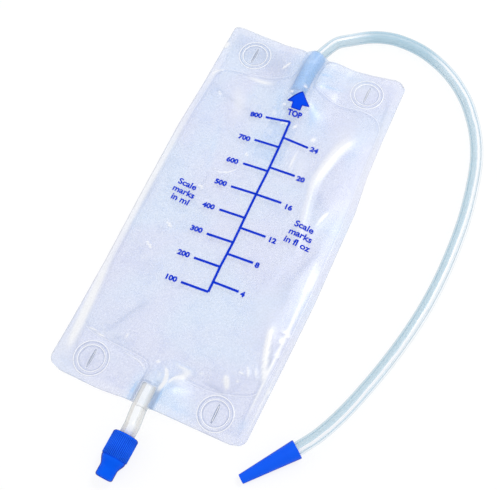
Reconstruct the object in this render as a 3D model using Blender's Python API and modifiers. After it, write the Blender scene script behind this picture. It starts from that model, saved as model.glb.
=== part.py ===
# Urine drainage leg bag with a twist drain valve, lying on its back film.
# All sizes are in metres. Bag coordinates: X across the bag, +Y up to its inlet,
# +Z off the surface that it lies on, origin in the middle of the films.

import math

import bmesh
import bpy
from mathutils import Matrix, Vector

# Films and their welds
BAG_WIDTH = 0.140
BAG_LENGTH = 0.288
FILM = 0.0003
GAP = 0.0003
TOP_CORNER = 0.003
BOTTOM_CORNER = 0.008
SIDE_WELD = 0.0045
TOP_HEADER = 0.0325
BOTTOM_HEADER = 0.0295
POUCH_RISE = 0.003
POUCH_SLOPE = 0.020

# Strap buttonholes: a raised ring round a slit, in each corner of the films
RING_SIDE_INSET = 0.0255
TOP_RING_INSET = 0.0185
BOTTOM_RING_INSET = 0.0150
RING_OUTER = 0.0119
RING_WIDTH = 0.0030
RING_HEIGHT = 0.00025
RING_TO_LIFT = 0.0022
SLIT_LENGTH = 0.0125
SLIT_WIDTH = 0.0005

# Inlet tube, the port that it is bonded into, and the anti-reflux sleeve below it
TUBE_DIAMETER = 0.0090
PORT_WALL = 0.0011
PORT_X = -0.0010
PORT_INSIDE = 0.0400
PORT_END_INSET = 0.0052
PORT_BEND = math.radians(15)
PORT_BEND_RADIUS = 0.060
TUBE_INSERTION = 0.028
LEAF = 0.00025
LEAF_OVERLAP = 0.011
LEAF_REACH = 0.056
LEAF_WIDTH = 0.021
LEAF_SPREAD_SHARE = 0.10
INLET_FADE = 0.025

# The tube's free route beyond the port, by hand: one wide loop beside the bag. Each point is
# (across from the bag's middle line, up from its top edge, the tube's clearance to the surface).
TUBE_ROUTE = (
    (0.0078, 0.0106, 0.0019),
    (0.0170, 0.0187, 0.0011),
    (0.0289, 0.0270, 0.0004),
    (0.0400, 0.0312, 0.0001),
    (0.0510, 0.0324, 0.0001),
    (0.0676, 0.0304, 0.0001),
    (0.0848, 0.0235, 0.0001),
    (0.0995, 0.0138, 0.0001),
    (0.1124, 0.0009, 0.0001),
    (0.1224, -0.0138, 0.0001),
    (0.1293, -0.0276, 0.0001),
    (0.1345, -0.0430, 0.0001),
    (0.1385, -0.0640, 0.0001),
    (0.1412, -0.0880, 0.0001),
    (0.1419, -0.1130, 0.0001),
    (0.1410, -0.1380, 0.0001),
    (0.1381, -0.1634, 0.0001),
    (0.1330, -0.1890, 0.0001),
    (0.1262, -0.2144, 0.0002),
    (0.1178, -0.2397, 0.0006),
    (0.1092, -0.2590, 0.0012),
)
TUBE_SAMPLES = 2

# Connector on the tube's free end, a hollow taper that fits a catheter's funnel
CONNECTOR_X = 0.1002
CONNECTOR_BELOW_TOP = 0.2729
CONNECTOR_HEADING = math.radians(-128.8)
CONNECTOR_LENGTH = 0.0387
CONNECTOR_WALL = 0.00135
CONNECTOR_RIM = 0.0006
CONNECTOR_SOCKET = 0.0120
CONNECTOR_STOP = 0.0010
CONNECTOR_TIP = 0.0062
CONNECTOR_TIP_WALL = 0.0010
CONNECTOR_TIP_BORE_LENGTH = 0.0092

# Outlet tube, welded between the films at the bottom
OUTLET_DIAMETER = 0.0103
OUTLET_BORE = 0.0071
OUTLET_INSERTION = 0.0135
OUTLET_FADE = 0.022
OUTLET_STRAIGHT = 0.002
OUTLET_BEND_POINTS = 7

# Twist valve. Its axis leaves the middle of the cap's open rim, away from the bag, and the
# lengths below follow each other along it.
CAP_RIM_X = 0.0016
CAP_RIM_BELOW = 0.0203
VALVE_TILT = math.radians(-2.0)
TUBE_IN_CAP = 0.0044
SPIGOT_LENGTH = 0.0104
BARB_COUNT = 2
BARB_HEIGHT = 0.0004
COLLAR_THICKNESS = 0.0008
CAM_TRAVEL = 0.0030
CAM_TURN = math.radians(120)
CAM_SHOULDER = 0.0007
LUG_ARC = math.radians(36)
LUG_WIDTH = 0.0016
LUG_HEIGHT = 0.0009
LUG_COUNT = 2
STEM_BORE = 0.0032
STEM_BODY = 0.0086
STEM_LAND_STEP = 0.0004
LAND_LENGTH = 0.0053
RING_SECTION = 0.0010
RING_GROOVE_WIDTH = 0.0015
RING_TO_NECK = 0.0012
NECK_DIAMETER = 0.0060
NECK_LENGTH = 0.0020
WINDOW_DIAMETER = 0.0015
PIN_DIAMETER = 0.0038
PIN_LENGTH = 0.0030
PIN_CHAMFER = 0.0009
PIN_ROOT = 0.0005
WASHER_THICKNESS = 0.0010
SEAT_THICKNESS = 0.0017
MOUTH_CHAMFER = 0.0008
MOUTH_LENGTH = 0.0050
MOUTH_WALL = 0.0019
NOZZLE_WALL = 0.0016
NOZZLE_EDGE = 0.0015
GRIP_WALL = 0.0029
GRIP_LENGTH = 0.0162
GRIP_DRAFT = 0.0004
SHOULDER_LENGTH = 0.0062
RIM_EDGE = 0.0014
GRIP_FLUTES = 24
FLUTE_RADIUS = 0.00045
FLUTE_DEPTH = 0.00030
FLUTE_END_INSET = 0.0004

# How finely the shapes are divided
CHANNEL_ANGLES = (18, 36, 54, 72, 90)
CHANNEL_FLANK = 0.0020
CORNER_ANGLES = (0, 30, 60, 90)
SLOPE_SHARES = (0, 0.2, 0.45, 0.7, 1)
FADE_SHARES = (0, 0.2, 0.4, 0.6, 0.8, 1)
MIDDLE_SHARES = (-0.16, 0, 0.16)
ROWS_APART = 0.0007
BEAD_STEPS = 24
TURN_STEPS = 28
CAP_STEPS = 48
RING_SECTION_STEPS = 8
HELIX_STEP = math.radians(7)
HOLLOW_RESOLUTION = 10
TUBE_RESOLUTION = 4
ROUND_MIDDLE = 1 - math.sqrt(0.5)

# What follows from them: the bag
TOP = BAG_LENGTH / 2
BOTTOM = -BAG_LENGTH / 2
HALF_WIDTH = BAG_WIDTH / 2
TOP_WELD_Y = TOP - TOP_HEADER
BOTTOM_WELD_Y = BOTTOM + BOTTOM_HEADER
TUBE_RADIUS = TUBE_DIAMETER / 2
PORT_BORE_RADIUS = TUBE_RADIUS + GAP
PORT_RADIUS = PORT_BORE_RADIUS + PORT_WALL
LEAF_INNER_RADIUS = PORT_RADIUS + GAP
LEAF_OUTER_RADIUS = LEAF_INNER_RADIUS + LEAF
INLET_CHANNEL = LEAF_OUTER_RADIUS + GAP
OUTLET_RADIUS = OUTLET_DIAMETER / 2
OUTLET_CHANNEL = OUTLET_RADIUS + GAP
PORT_HEIGHT = INLET_CHANNEL + FILM
OUTLET_HEIGHT = OUTLET_CHANNEL + FILM
PORT_INNER_Y = TOP - PORT_INSIDE
PORT_END_Y = TOP - PORT_END_INSET
PORT_BEND_Y = PORT_END_Y - PORT_BEND_RADIUS * math.sin(PORT_BEND)
OUTLET_INNER_Y = BOTTOM + OUTLET_INSERTION
RING_X = HALF_WIDTH - RING_SIDE_INSET
LIFT_REACH = RING_X - RING_OUTER - RING_TO_LIFT
SOCKET_RADIUS = TUBE_RADIUS + GAP
CONNECTOR_RADIUS = SOCKET_RADIUS + CONNECTOR_WALL

# What follows from them: radii in the valve, and places along its axis
BARB_RADIUS = OUTLET_BORE / 2 - GAP
SPIGOT_RADIUS = BARB_RADIUS - BARB_HEIGHT
STEM_RADIUS = STEM_BODY / 2
CAM_BORE_RADIUS = STEM_RADIUS + GAP
LUG_RADIUS = STEM_RADIUS + LUG_HEIGHT
LAND_RADIUS = STEM_RADIUS - STEM_LAND_STEP
SEAL_BORE_RADIUS = LAND_RADIUS + GAP
WELL_RADIUS = max(OUTLET_RADIUS, LUG_RADIUS) + GAP
GRIP_RADIUS = WELL_RADIUS + GRIP_WALL
PIN_RADIUS = PIN_DIAMETER / 2
ORIFICE_RADIUS = PIN_RADIUS + GAP
NOZZLE_RADIUS = SEAL_BORE_RADIUS + NOZZLE_WALL
MOUTH_RADIUS = NOZZLE_RADIUS - MOUTH_WALL
SPIGOT_END = TUBE_IN_CAP - SPIGOT_LENGTH
COLLAR_START = TUBE_IN_CAP + GAP
COLLAR_END = COLLAR_START + COLLAR_THICKNESS
CAM_START = COLLAR_END + GAP
CAM_END = CAM_START + CAM_TRAVEL * (1 + LUG_ARC / CAM_TURN) + LUG_WIDTH + 2 * GAP + CAM_SHOULDER
CAM_PITCH = CAM_TRAVEL / CAM_TURN * 2 * math.pi
NECK_START = CAM_END + LAND_LENGTH
NECK_END = NECK_START + NECK_LENGTH
RING_PLACE = NECK_START - RING_TO_NECK
PIN_TIP = NECK_END + PIN_LENGTH
WASHER_PLACE = NECK_END + GAP
SEAT_PLACE = WASHER_PLACE + WASHER_THICKNESS + GAP
MOUTH_PLACE = SEAT_PLACE + SEAT_THICKNESS + MOUTH_CHAMFER
CAP_LENGTH = MOUTH_PLACE + MOUTH_LENGTH
VALVE_START = Vector((CAP_RIM_X, BOTTOM - CAP_RIM_BELOW, GRIP_RADIUS))
VALVE_DIRECTION = Vector((math.sin(VALVE_TILT), -math.cos(VALVE_TILT), 0))
VALVE_END = VALVE_START + VALVE_DIRECTION * CAP_LENGTH
FRAME_Y = -(TOP + VALVE_END.y - NOZZLE_RADIUS * abs(math.sin(VALVE_TILT))) / 2


def clear_scene():
    for obj in list(bpy.data.objects):
        bpy.data.objects.remove(obj, do_unlink=True)


def new_collection(name, helper=False):
    made = bpy.data.collections.new(name)
    made.hide_render = helper
    bpy.context.scene.collection.children.link(made)
    return made


clear_scene()
PIECES = new_collection("urine_drainage_bag")
SLIT_CUTTERS = new_collection("slit_cutters", helper=True)
RING_BEADS = new_collection("ring_beads", helper=True)
LUG_BARS = new_collection("lug_bars", helper=True)
WINDOW_CUTTERS = new_collection("window_cutters", helper=True)
CAP_CUTTERS = new_collection("cap_cutters", helper=True)

BAG = bpy.data.objects.new("bag_frame", None)
BAG.location = (0, FRAME_Y, 0)
PIECES.objects.link(BAG)


def material(name, color, roughness, alpha=1.0):
    made = bpy.data.materials.new(name)
    made.use_nodes = True
    shader = made.node_tree.nodes["Principled BSDF"]
    shader.inputs["Base Color"].default_value = (*color, 1)
    shader.inputs["Roughness"].default_value = roughness
    shader.inputs["Metallic"].default_value = 0.0
    shader.inputs["Alpha"].default_value = alpha
    return made


def place(name, data, collection, finish=None, parent=BAG):
    obj = bpy.data.objects.new(name, data)
    collection.objects.link(obj)
    obj.parent = parent
    if finish:
        data.materials.append(finish)
    if collection is not PIECES:
        obj.hide_render = True
        obj.display_type = "WIRE"
    return obj


def mesh_from(bm, name, smooth=True):
    mesh = bpy.data.meshes.new(name)
    bm.to_mesh(mesh)
    bm.free()
    if smooth:
        mesh.shade_smooth()
        mesh.set_sharp_from_angle(angle=math.radians(35))
    return mesh


def boolean(obj, operation, collection):
    cut = obj.modifiers.new(f"{operation.lower()} {collection.name}", "BOOLEAN")
    cut.operation = operation
    cut.operand_type = "COLLECTION"
    cut.collection = collection
    cut.solver = "EXACT"


# A turned piece: its section is (radius, place along the axis), spun round local Z.
# The section runs down its outer side first.
def turned(name, section, steps, collection, finish=None, parent=BAG, closed=True):
    bm = bmesh.new()
    points = [bm.verts.new((radius, 0, along)) for radius, along in section]
    for first, second in zip(points, points[1:]):
        bm.edges.new((first, second))
    if closed:
        bm.edges.new((points[-1], points[0]))
    obj = place(name, mesh_from(bm, name, smooth=False), collection, finish, parent)
    screw = obj.modifiers.new("turn", "SCREW")
    screw.axis = "Z"
    screw.angle = 2 * math.pi
    screw.steps = steps
    screw.render_steps = steps
    screw.use_merge_vertices = True
    screw.merge_threshold = 0.00001
    screw.use_smooth_shade = True
    return obj


# A bar that winds round local Z as a helix, from a rectangle spun and raised together.
def helical_bar(name, inner, outer, width, start, arc, centre, collection, parent):
    steps = round(arc / HELIX_STEP)
    low = centre + CAM_PITCH * start / (2 * math.pi)
    bm = bmesh.new()
    half = width / 2
    turn = Matrix.Rotation(start, 3, "Z")
    corners = [
        bm.verts.new(turn @ Vector((radius, 0, low + rise)))
        for radius, rise in ((inner, -half), (outer, -half), (outer, half), (inner, half))
    ]
    face = bm.faces.new(corners)
    rise_each = CAM_PITCH * arc / (2 * math.pi) / steps
    bmesh.ops.spin(
        bm,
        geom=[face, *face.edges, *face.verts],
        cent=(0, 0, 0),
        axis=(0, 0, 1),
        dvec=(0, 0, rise_each),
        angle=arc,
        steps=steps,
        use_duplicate=False,
    )
    bmesh.ops.remove_doubles(bm, verts=bm.verts, dist=0.000001)
    bmesh.ops.recalc_face_normals(bm, faces=bm.faces)
    return place(name, mesh_from(bm, name, smooth=False), collection, parent=parent)


def smooth_step(share):
    share = min(max(share, 0), 1)
    return share * share * (3 - 2 * share)


def circle(offset, radius):
    return math.sqrt(max(radius * radius - offset * offset, 0))


# How far the films stand round the inlet's port or the outlet tube: 1 along it, 0 in the pouch
def inlet_share(y):
    return smooth_step((y - (PORT_INNER_Y - GAP - INLET_FADE)) / INLET_FADE)


def outlet_share(y):
    return smooth_step(((OUTLET_INNER_Y + GAP + OUTLET_FADE) - y) / OUTLET_FADE)


def channel_centre(y):
    into_bend = min(max(y - PORT_BEND_Y, 0), PORT_BEND_RADIUS * math.sin(PORT_BEND))
    bent = PORT_BEND_RADIUS - circle(into_bend, PORT_BEND_RADIUS)
    beyond = max(y - PORT_END_Y, 0) * math.tan(PORT_BEND)
    return (PORT_X + bent + beyond) * smooth_step(y / (PORT_INNER_Y - INLET_FADE))


def channel_radius(y):
    share = smooth_step((y - BOTTOM_WELD_Y) / (TOP_WELD_Y - BOTTOM_WELD_Y))
    return OUTLET_CHANNEL + (INLET_CHANNEL - OUTLET_CHANNEL) * share


def half_width(y):
    for end, radius in ((TOP, TOP_CORNER), (BOTTOM, BOTTOM_CORNER)):
        inset = abs(end - y)
        if inset < radius:
            return HALF_WIDTH - radius + circle(radius - inset, radius)
    return HALF_WIDTH


def pouch_rise(x, y):
    inside = min(HALF_WIDTH - SIDE_WELD - abs(x), TOP_WELD_Y - y, y - BOTTOM_WELD_Y)
    return POUCH_RISE * math.sin(math.pi / 2 * min(max(inside / POUCH_SLOPE, 0), 1))


# The films' levels at one place: the back film's underside, and the front film's underside
def film_levels(x, y):
    offset = abs(x - channel_centre(y))
    share = max(inlet_share(y), outlet_share(y))
    radius = INLET_CHANNEL if y > 0 else OUTLET_CHANNEL
    outer = radius + FILM
    flat = FILM + GAP / 2
    middle = outer
    if offset > outer:
        away = min((offset - outer) / (LIFT_REACH - outer), 1)
        middle = flat + (outer - flat) * (1 + math.cos(math.pi * away)) / 2
    round_outside = circle(offset, outer)
    back = share * (middle - max(round_outside, flat))
    opening = max(GAP, share * (circle(offset, radius) + round_outside - FILM))
    rise = (1 - share * round_outside / outer) * pouch_rise(x, y)
    return back, back + FILM + opening + rise


def leaf_levels(x, y):
    back, _ = film_levels(x, y)
    offset = abs(x - channel_centre(y))
    share = inlet_share(y)
    round_outside = circle(offset, LEAF_OUTER_RADIUS)
    round_film = circle(offset, INLET_CHANNEL + FILM)
    low = back + FILM + max(GAP, share * (round_film - FILM - round_outside))
    between = share * (circle(offset, LEAF_INNER_RADIUS) + round_outside - LEAF)
    return low, low + LEAF + max(GAP, between)


def film_columns(y):
    centre = channel_centre(y)
    radius = channel_radius(y) + FILM
    half = half_width(y)
    right = [radius * math.sin(math.radians(angle)) for angle in CHANNEL_ANGLES]
    left = [centre - offset for offset in reversed(right)]
    right = [centre] + [centre + offset for offset in right]
    flank = radius + CHANNEL_FLANK
    slope_end = half - SIDE_WELD - POUCH_SLOPE
    for side, found in ((-1, left), (1, right)):
        near = abs(centre + side * flank)
        reach = LIFT_REACH + side * centre
        out = [near, near + (reach - near) / 3, near + (reach - near) * 2 / 3, reach]
        out += [slope_end + POUCH_SLOPE * (1 - share) for share in reversed(SLOPE_SHARES)]
        out.append(half)
        if side < 0:
            found[:0] = [-offset for offset in reversed(out)]
        else:
            found += out
    return left + right


def film_rows():
    corners = [1 - math.cos(math.radians(angle)) for angle in CORNER_ANGLES]
    rows = [TOP - TOP_CORNER * share for share in corners]
    rows += [PORT_END_Y, (PORT_BEND_Y + PORT_END_Y) / 2, PORT_BEND_Y, (TOP_WELD_Y + PORT_BEND_Y) / 2]
    rows += [TOP_WELD_Y - POUCH_SLOPE * share for share in SLOPE_SHARES]
    rows += [PORT_INNER_Y - GAP - INLET_FADE * share for share in FADE_SHARES]
    rows += [BAG_LENGTH * share for share in MIDDLE_SHARES]
    rows += [BOTTOM_WELD_Y + POUCH_SLOPE * share for share in SLOPE_SHARES]
    rows += [OUTLET_INNER_Y + GAP + OUTLET_FADE * share for share in FADE_SHARES]
    rows += [BOTTOM + BOTTOM_CORNER * share for share in corners]
    kept = []
    ends = {TOP, BOTTOM, TOP_WELD_Y, BOTTOM_WELD_Y}
    for y in sorted(rows):
        if y in ends or not kept or y - kept[-1] > ROWS_APART:
            kept.append(y)
    return kept


def leaf_half_width(y):
    spread = smooth_step((LEAF_SPREAD_SHARE - inlet_share(y)) / LEAF_SPREAD_SHARE)
    narrow = LEAF_INNER_RADIUS - GAP / 2
    return narrow + (LEAF_WIDTH / 2 - narrow) * spread


def leaf_columns(y):
    half = leaf_half_width(y)
    right = [half * math.sin(math.radians(angle)) for angle in CHANNEL_ANGLES]
    left = [-offset for offset in reversed(right)]
    return [PORT_X + offset for offset in (*left, 0, *right)]


# The leaves share the films' rows, so that they stay apart where both change shape
def leaf_rows():
    low, high = PORT_INNER_Y - LEAF_REACH, PORT_INNER_Y + LEAF_OVERLAP
    return [low, *(y for y in film_rows() if low < y < high), high]


# A sheet: a grid laid out by its rows and columns, raised to one of the levels, then given
# its thickness
def sheet(name, rows, columns, levels, layer, thickness, finish):
    across = len(columns(rows[0]))
    bm = bmesh.new()
    bmesh.ops.create_grid(bm, x_segments=across - 1, y_segments=len(rows) - 1, size=1)
    for vert in bm.verts:
        column = round((vert.co.x + 1) / 2 * (across - 1))
        y = rows[round((vert.co.y + 1) / 2 * (len(rows) - 1))]
        x = columns(y)[column]
        vert.co = (x, y, levels(x, y)[layer])
    bmesh.ops.dissolve_limit(bm, angle_limit=math.radians(0.02), verts=bm.verts, edges=bm.edges)
    bmesh.ops.triangulate(bm, faces=bm.faces)
    obj = place(name, mesh_from(bm, name), PIECES, finish)
    solidify = obj.modifiers.new("thickness", "SOLIDIFY")
    solidify.thickness = thickness
    solidify.offset = 1
    return obj


def buttonhole_places():
    for side in (-1, 1):
        yield side * RING_X, TOP - TOP_RING_INSET
        yield side * RING_X, BOTTOM + BOTTOM_RING_INSET


def make_buttonholes():
    face = FILM + GAP + FILM
    inner = RING_OUTER - RING_WIDTH
    for number, (x, y) in enumerate(buttonhole_places()):
        bead = turned(
            f"ring_bead_{number}",
            (
                (RING_OUTER - RING_HEIGHT, face + RING_HEIGHT),
                (RING_OUTER, face - FILM / 2),
                (inner, face - FILM / 2),
                (inner + RING_HEIGHT, face + RING_HEIGHT),
            ),
            BEAD_STEPS,
            RING_BEADS,
        )
        bead.location = (x, y, 0)
        bm = bmesh.new()
        bmesh.ops.create_cube(bm, size=1)
        bmesh.ops.scale(bm, vec=(SLIT_WIDTH, SLIT_LENGTH, 4 * (face + RING_HEIGHT)), verts=bm.verts)
        slit = place(f"slit_{number}", mesh_from(bm, "slit", smooth=False), SLIT_CUTTERS)
        slit.location = (x, y, 0)


def make_films():
    clear_film = material("clear_film", (0.70, 0.74, 0.90), 0.35, 0.5)
    rows = film_rows()
    back = sheet("back_film", rows, film_columns, film_levels, 0, FILM, clear_film)
    boolean(back, "DIFFERENCE", SLIT_CUTTERS)
    front = sheet("front_film", rows, film_columns, film_levels, 1, FILM, clear_film)
    boolean(front, "UNION", RING_BEADS)
    boolean(front, "DIFFERENCE", SLIT_CUTTERS)


def make_reflux_leaves():
    blue_film = material("blue_film", (0.45, 0.62, 0.92), 0.35, 0.5)
    rows = leaf_rows()
    sheet("reflux_leaf_back", rows, leaf_columns, leaf_levels, 0, LEAF, blue_film)
    sheet("reflux_leaf_front", rows, leaf_columns, leaf_levels, 1, LEAF, blue_film)


def port_path():
    points = [Vector((PORT_X, y, PORT_HEIGHT)) for y in (PORT_INNER_Y, PORT_BEND_Y)]
    for share in (0.25, 0.5, 0.75, 1):
        turn = PORT_BEND * share
        across = PORT_BEND_RADIUS * (1 - math.cos(turn))
        along = PORT_BEND_RADIUS * math.sin(turn)
        points.append(Vector((PORT_X + across, PORT_BEND_Y + along, PORT_HEIGHT)))
    return points


# Points with even steps between them on a smooth curve that passes through the given ones
def smooth_route(points, samples):
    ends = [2 * points[0] - points[1], *points, 2 * points[-1] - points[-2]]
    route = []
    for before, first, second, after in zip(ends, ends[1:], ends[2:], ends[3:]):
        for number in range(samples):
            t = number / samples
            route.append(
                0.5
                * (
                    2 * first
                    + (second - before) * t
                    + (2 * before - 5 * first + 4 * second - after) * t**2
                    + (3 * first - before - 3 * second + after) * t**3
                )
            )
    return [*route, points[-1]]


def round_curve(name, points, radius, resolution, finish, filled):
    curve = bpy.data.curves.new(name, "CURVE")
    curve.dimensions = "3D"
    curve.bevel_depth = radius
    curve.bevel_resolution = resolution
    curve.use_fill_caps = filled
    spline = curve.splines.new("POLY")
    spline.points.add(len(points) - 1)
    for point, place_at in zip(spline.points, points):
        point.co = (*place_at, 1)
    return place(name, curve, PIECES, finish)


def hollow_curve(name, points, radius, wall, finish):
    obj = round_curve(name, points, radius, HOLLOW_RESOLUTION, finish, filled=False)
    solidify = obj.modifiers.new("wall", "SOLIDIFY")
    solidify.thickness = wall
    solidify.offset = -1
    return obj


# The connector lies on its side, so its axis dips by its taper's slope
def connector_frame():
    slope = math.atan((CONNECTOR_RADIUS - CONNECTOR_TIP / 2) / (CONNECTOR_LENGTH - CONNECTOR_RIM))
    across = math.cos(CONNECTOR_HEADING) * math.cos(slope)
    down = math.sin(CONNECTOR_HEADING) * math.cos(slope)
    height = CONNECTOR_RADIUS * math.cos(slope) + CONNECTOR_RIM * math.sin(slope)
    start = Vector((CONNECTOR_X, TOP - CONNECTOR_BELOW_TOP, height))
    return start, Vector((across, down, -math.sin(slope)))


def make_inlet():
    blue_port = material("blue_port", (0.36, 0.55, 0.90), 0.3, 0.7)
    clear_tube = material("clear_tube", (0.62, 0.76, 0.82), 0.15, 0.5)
    path = port_path()
    hollow_curve("inlet_port", path, PORT_RADIUS, PORT_WALL, blue_port)
    start, along = connector_frame()
    inside_y = PORT_END_Y - TUBE_INSERTION
    inside = [Vector((PORT_X, inside_y, PORT_HEIGHT)), *path[1:]]
    free = [Vector((x, TOP + above, TUBE_RADIUS + lift)) for x, above, lift in TUBE_ROUTE]
    end = [start - along * CONNECTOR_RIM, start + along * (CONNECTOR_SOCKET - GAP)]
    route = inside + smooth_route([path[-1], *free, end[0]], TUBE_SAMPLES)[1:] + end[1:]
    round_curve("inlet_tube", route, TUBE_RADIUS, TUBE_RESOLUTION, clear_tube, filled=True)


def make_connector():
    blue_plastic = material("blue_plastic", (0.02, 0.10, 0.82), 0.3)
    tip = CONNECTOR_TIP / 2
    bore = tip - CONNECTOR_TIP_WALL
    section = (
        (tip, CONNECTOR_LENGTH),
        (CONNECTOR_RADIUS, CONNECTOR_RIM),
        (CONNECTOR_RADIUS - CONNECTOR_RIM * ROUND_MIDDLE, CONNECTOR_RIM * ROUND_MIDDLE),
        (CONNECTOR_RADIUS - CONNECTOR_RIM, 0),
        (SOCKET_RADIUS, 0),
        (SOCKET_RADIUS, CONNECTOR_SOCKET),
        (SOCKET_RADIUS - CONNECTOR_STOP, CONNECTOR_SOCKET),
        (bore, CONNECTOR_LENGTH - CONNECTOR_TIP_BORE_LENGTH),
        (bore, CONNECTOR_LENGTH),
    )
    connector = turned("catheter_connector", section, TURN_STEPS, PIECES, blue_plastic)
    start, along = connector_frame()
    connector.location = start
    connector.rotation_mode = "QUATERNION"
    connector.rotation_quaternion = along.to_track_quat("Z", "Y")


def make_valve_frame():
    frame = bpy.data.objects.new("valve_axis", None)
    PIECES.objects.link(frame)
    frame.parent = BAG
    across = Vector((math.cos(VALVE_TILT), math.sin(VALVE_TILT), 0))
    turn = Matrix((across, Vector((0, 0, 1)), VALVE_DIRECTION)).transposed()
    frame.location = VALVE_START
    frame.rotation_mode = "QUATERNION"
    frame.rotation_quaternion = turn.to_quaternion()
    return frame


# The outlet tube runs straight in the weld, rises and turns, then runs straight over the spigot
def make_outlet_tube():
    cream_tube = material("cream_tube", (0.82, 0.80, 0.74), 0.3, 0.8)
    first = Vector((0, BOTTOM - OUTLET_STRAIGHT, OUTLET_HEIGHT))
    last = VALVE_START + VALVE_DIRECTION * (SPIGOT_END - GAP)
    pull = (last - first).length / 3
    handles = (first, first - Vector((0, pull, 0)), last - VALVE_DIRECTION * pull, last)
    points = [Vector((0, OUTLET_INNER_Y, OUTLET_HEIGHT))]
    for number in range(OUTLET_BEND_POINTS + 1):
        t = number / OUTLET_BEND_POINTS
        weights = ((1 - t) ** 3, 3 * t * (1 - t) ** 2, 3 * t * t * (1 - t), t**3)
        points.append(sum((handle * weight for handle, weight in zip(handles, weights)), Vector()))
    points.append(VALVE_START + VALVE_DIRECTION * TUBE_IN_CAP)
    wall = (OUTLET_DIAMETER - OUTLET_BORE) / 2
    hollow_curve("outlet_tube", points, OUTLET_RADIUS, wall, cream_tube)


# Two helical lugs on the stem run in two helical grooves in the cap. The lugs rest at the
# grooves' far ends, so that turning the cap drives it off the pin by CAM_TRAVEL.
def lug_centre():
    end_room = (LUG_WIDTH / 2 + GAP) + CAM_PITCH * (LUG_ARC / (2 * math.pi))
    return CAM_END - GAP - end_room


def make_stem(frame):
    white_plastic = material("white_plastic", (0.80, 0.82, 0.85), 0.35)
    groove_radius = LAND_RADIUS - RING_SECTION - GAP / 2
    groove_start = RING_PLACE - RING_GROOVE_WIDTH / 2
    groove_end = RING_PLACE + RING_GROOVE_WIDTH / 2
    bore = STEM_BORE / 2
    section = [
        (0, PIN_TIP),
        (PIN_RADIUS - PIN_CHAMFER, PIN_TIP),
        (PIN_RADIUS, PIN_TIP - PIN_CHAMFER),
        (PIN_RADIUS, NECK_END),
        (NECK_DIAMETER / 2, NECK_END),
        (NECK_DIAMETER / 2, NECK_START),
        (LAND_RADIUS, NECK_START),
        (LAND_RADIUS, groove_end),
        (groove_radius, groove_end),
        (groove_radius, groove_start),
        (LAND_RADIUS, groove_start),
        (LAND_RADIUS, CAM_END + GAP),
        (STEM_RADIUS, CAM_END - GAP),
        (STEM_RADIUS, COLLAR_END),
        (OUTLET_RADIUS, COLLAR_END),
        (OUTLET_RADIUS, COLLAR_START),
        (SPIGOT_RADIUS, COLLAR_START),
    ]
    barb_length = SPIGOT_LENGTH / (BARB_COUNT + 1)
    for number in range(BARB_COUNT):
        start = TUBE_IN_CAP - barb_length * (number + 1)
        section += [(SPIGOT_RADIUS, start), (BARB_RADIUS, start - GAP)]
    section += [(SPIGOT_RADIUS, SPIGOT_END), (bore, SPIGOT_END)]
    section += [(bore, NECK_END - PIN_ROOT), (0, NECK_END - PIN_ROOT)]
    stem = turned("valve_stem", section, TURN_STEPS, PIECES, white_plastic, frame, closed=False)
    for number in range(LUG_COUNT):
        helical_bar(
            f"lug_{number}",
            STEM_RADIUS - GAP,
            LUG_RADIUS,
            LUG_WIDTH,
            2 * math.pi * number / LUG_COUNT,
            LUG_ARC,
            lug_centre() - CAM_PITCH * number / LUG_COUNT,
            LUG_BARS,
            frame,
        )
    for number in range(2):
        bm = bmesh.new()
        bmesh.ops.create_cone(
            bm,
            cap_ends=True,
            segments=12,
            radius1=WINDOW_DIAMETER / 2,
            radius2=WINDOW_DIAMETER / 2,
            depth=2 * LAND_RADIUS,
        )
        mesh = mesh_from(bm, "window", smooth=False)
        window = place(f"window_{number}", mesh, WINDOW_CUTTERS, parent=frame)
        window.location = (0, 0, (NECK_START + NECK_END) / 2)
        window.rotation_euler = (math.pi / 2, 0, number * math.pi / 2)
    boolean(stem, "UNION", LUG_BARS)
    boolean(stem, "DIFFERENCE", WINDOW_CUTTERS)


def make_seals(frame):
    grey_rubber = material("grey_rubber", (0.08, 0.09, 0.10), 0.6)
    minor = RING_SECTION / 2
    major = LAND_RADIUS - minor + GAP / 4
    section = []
    for number in range(RING_SECTION_STEPS):
        turn = -2 * math.pi * number / RING_SECTION_STEPS
        section.append((major + minor * math.cos(turn), RING_PLACE + minor * math.sin(turn)))
    turned("stem_o_ring", section, TURN_STEPS, PIECES, grey_rubber, frame)
    outer = SEAL_BORE_RADIUS - GAP
    top = WASHER_PLACE + WASHER_THICKNESS
    washer = ((outer, top), (outer, WASHER_PLACE), (ORIFICE_RADIUS, WASHER_PLACE), (ORIFICE_RADIUS, top))
    turned("cap_washer", washer, TURN_STEPS, PIECES, grey_rubber, frame)


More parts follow.
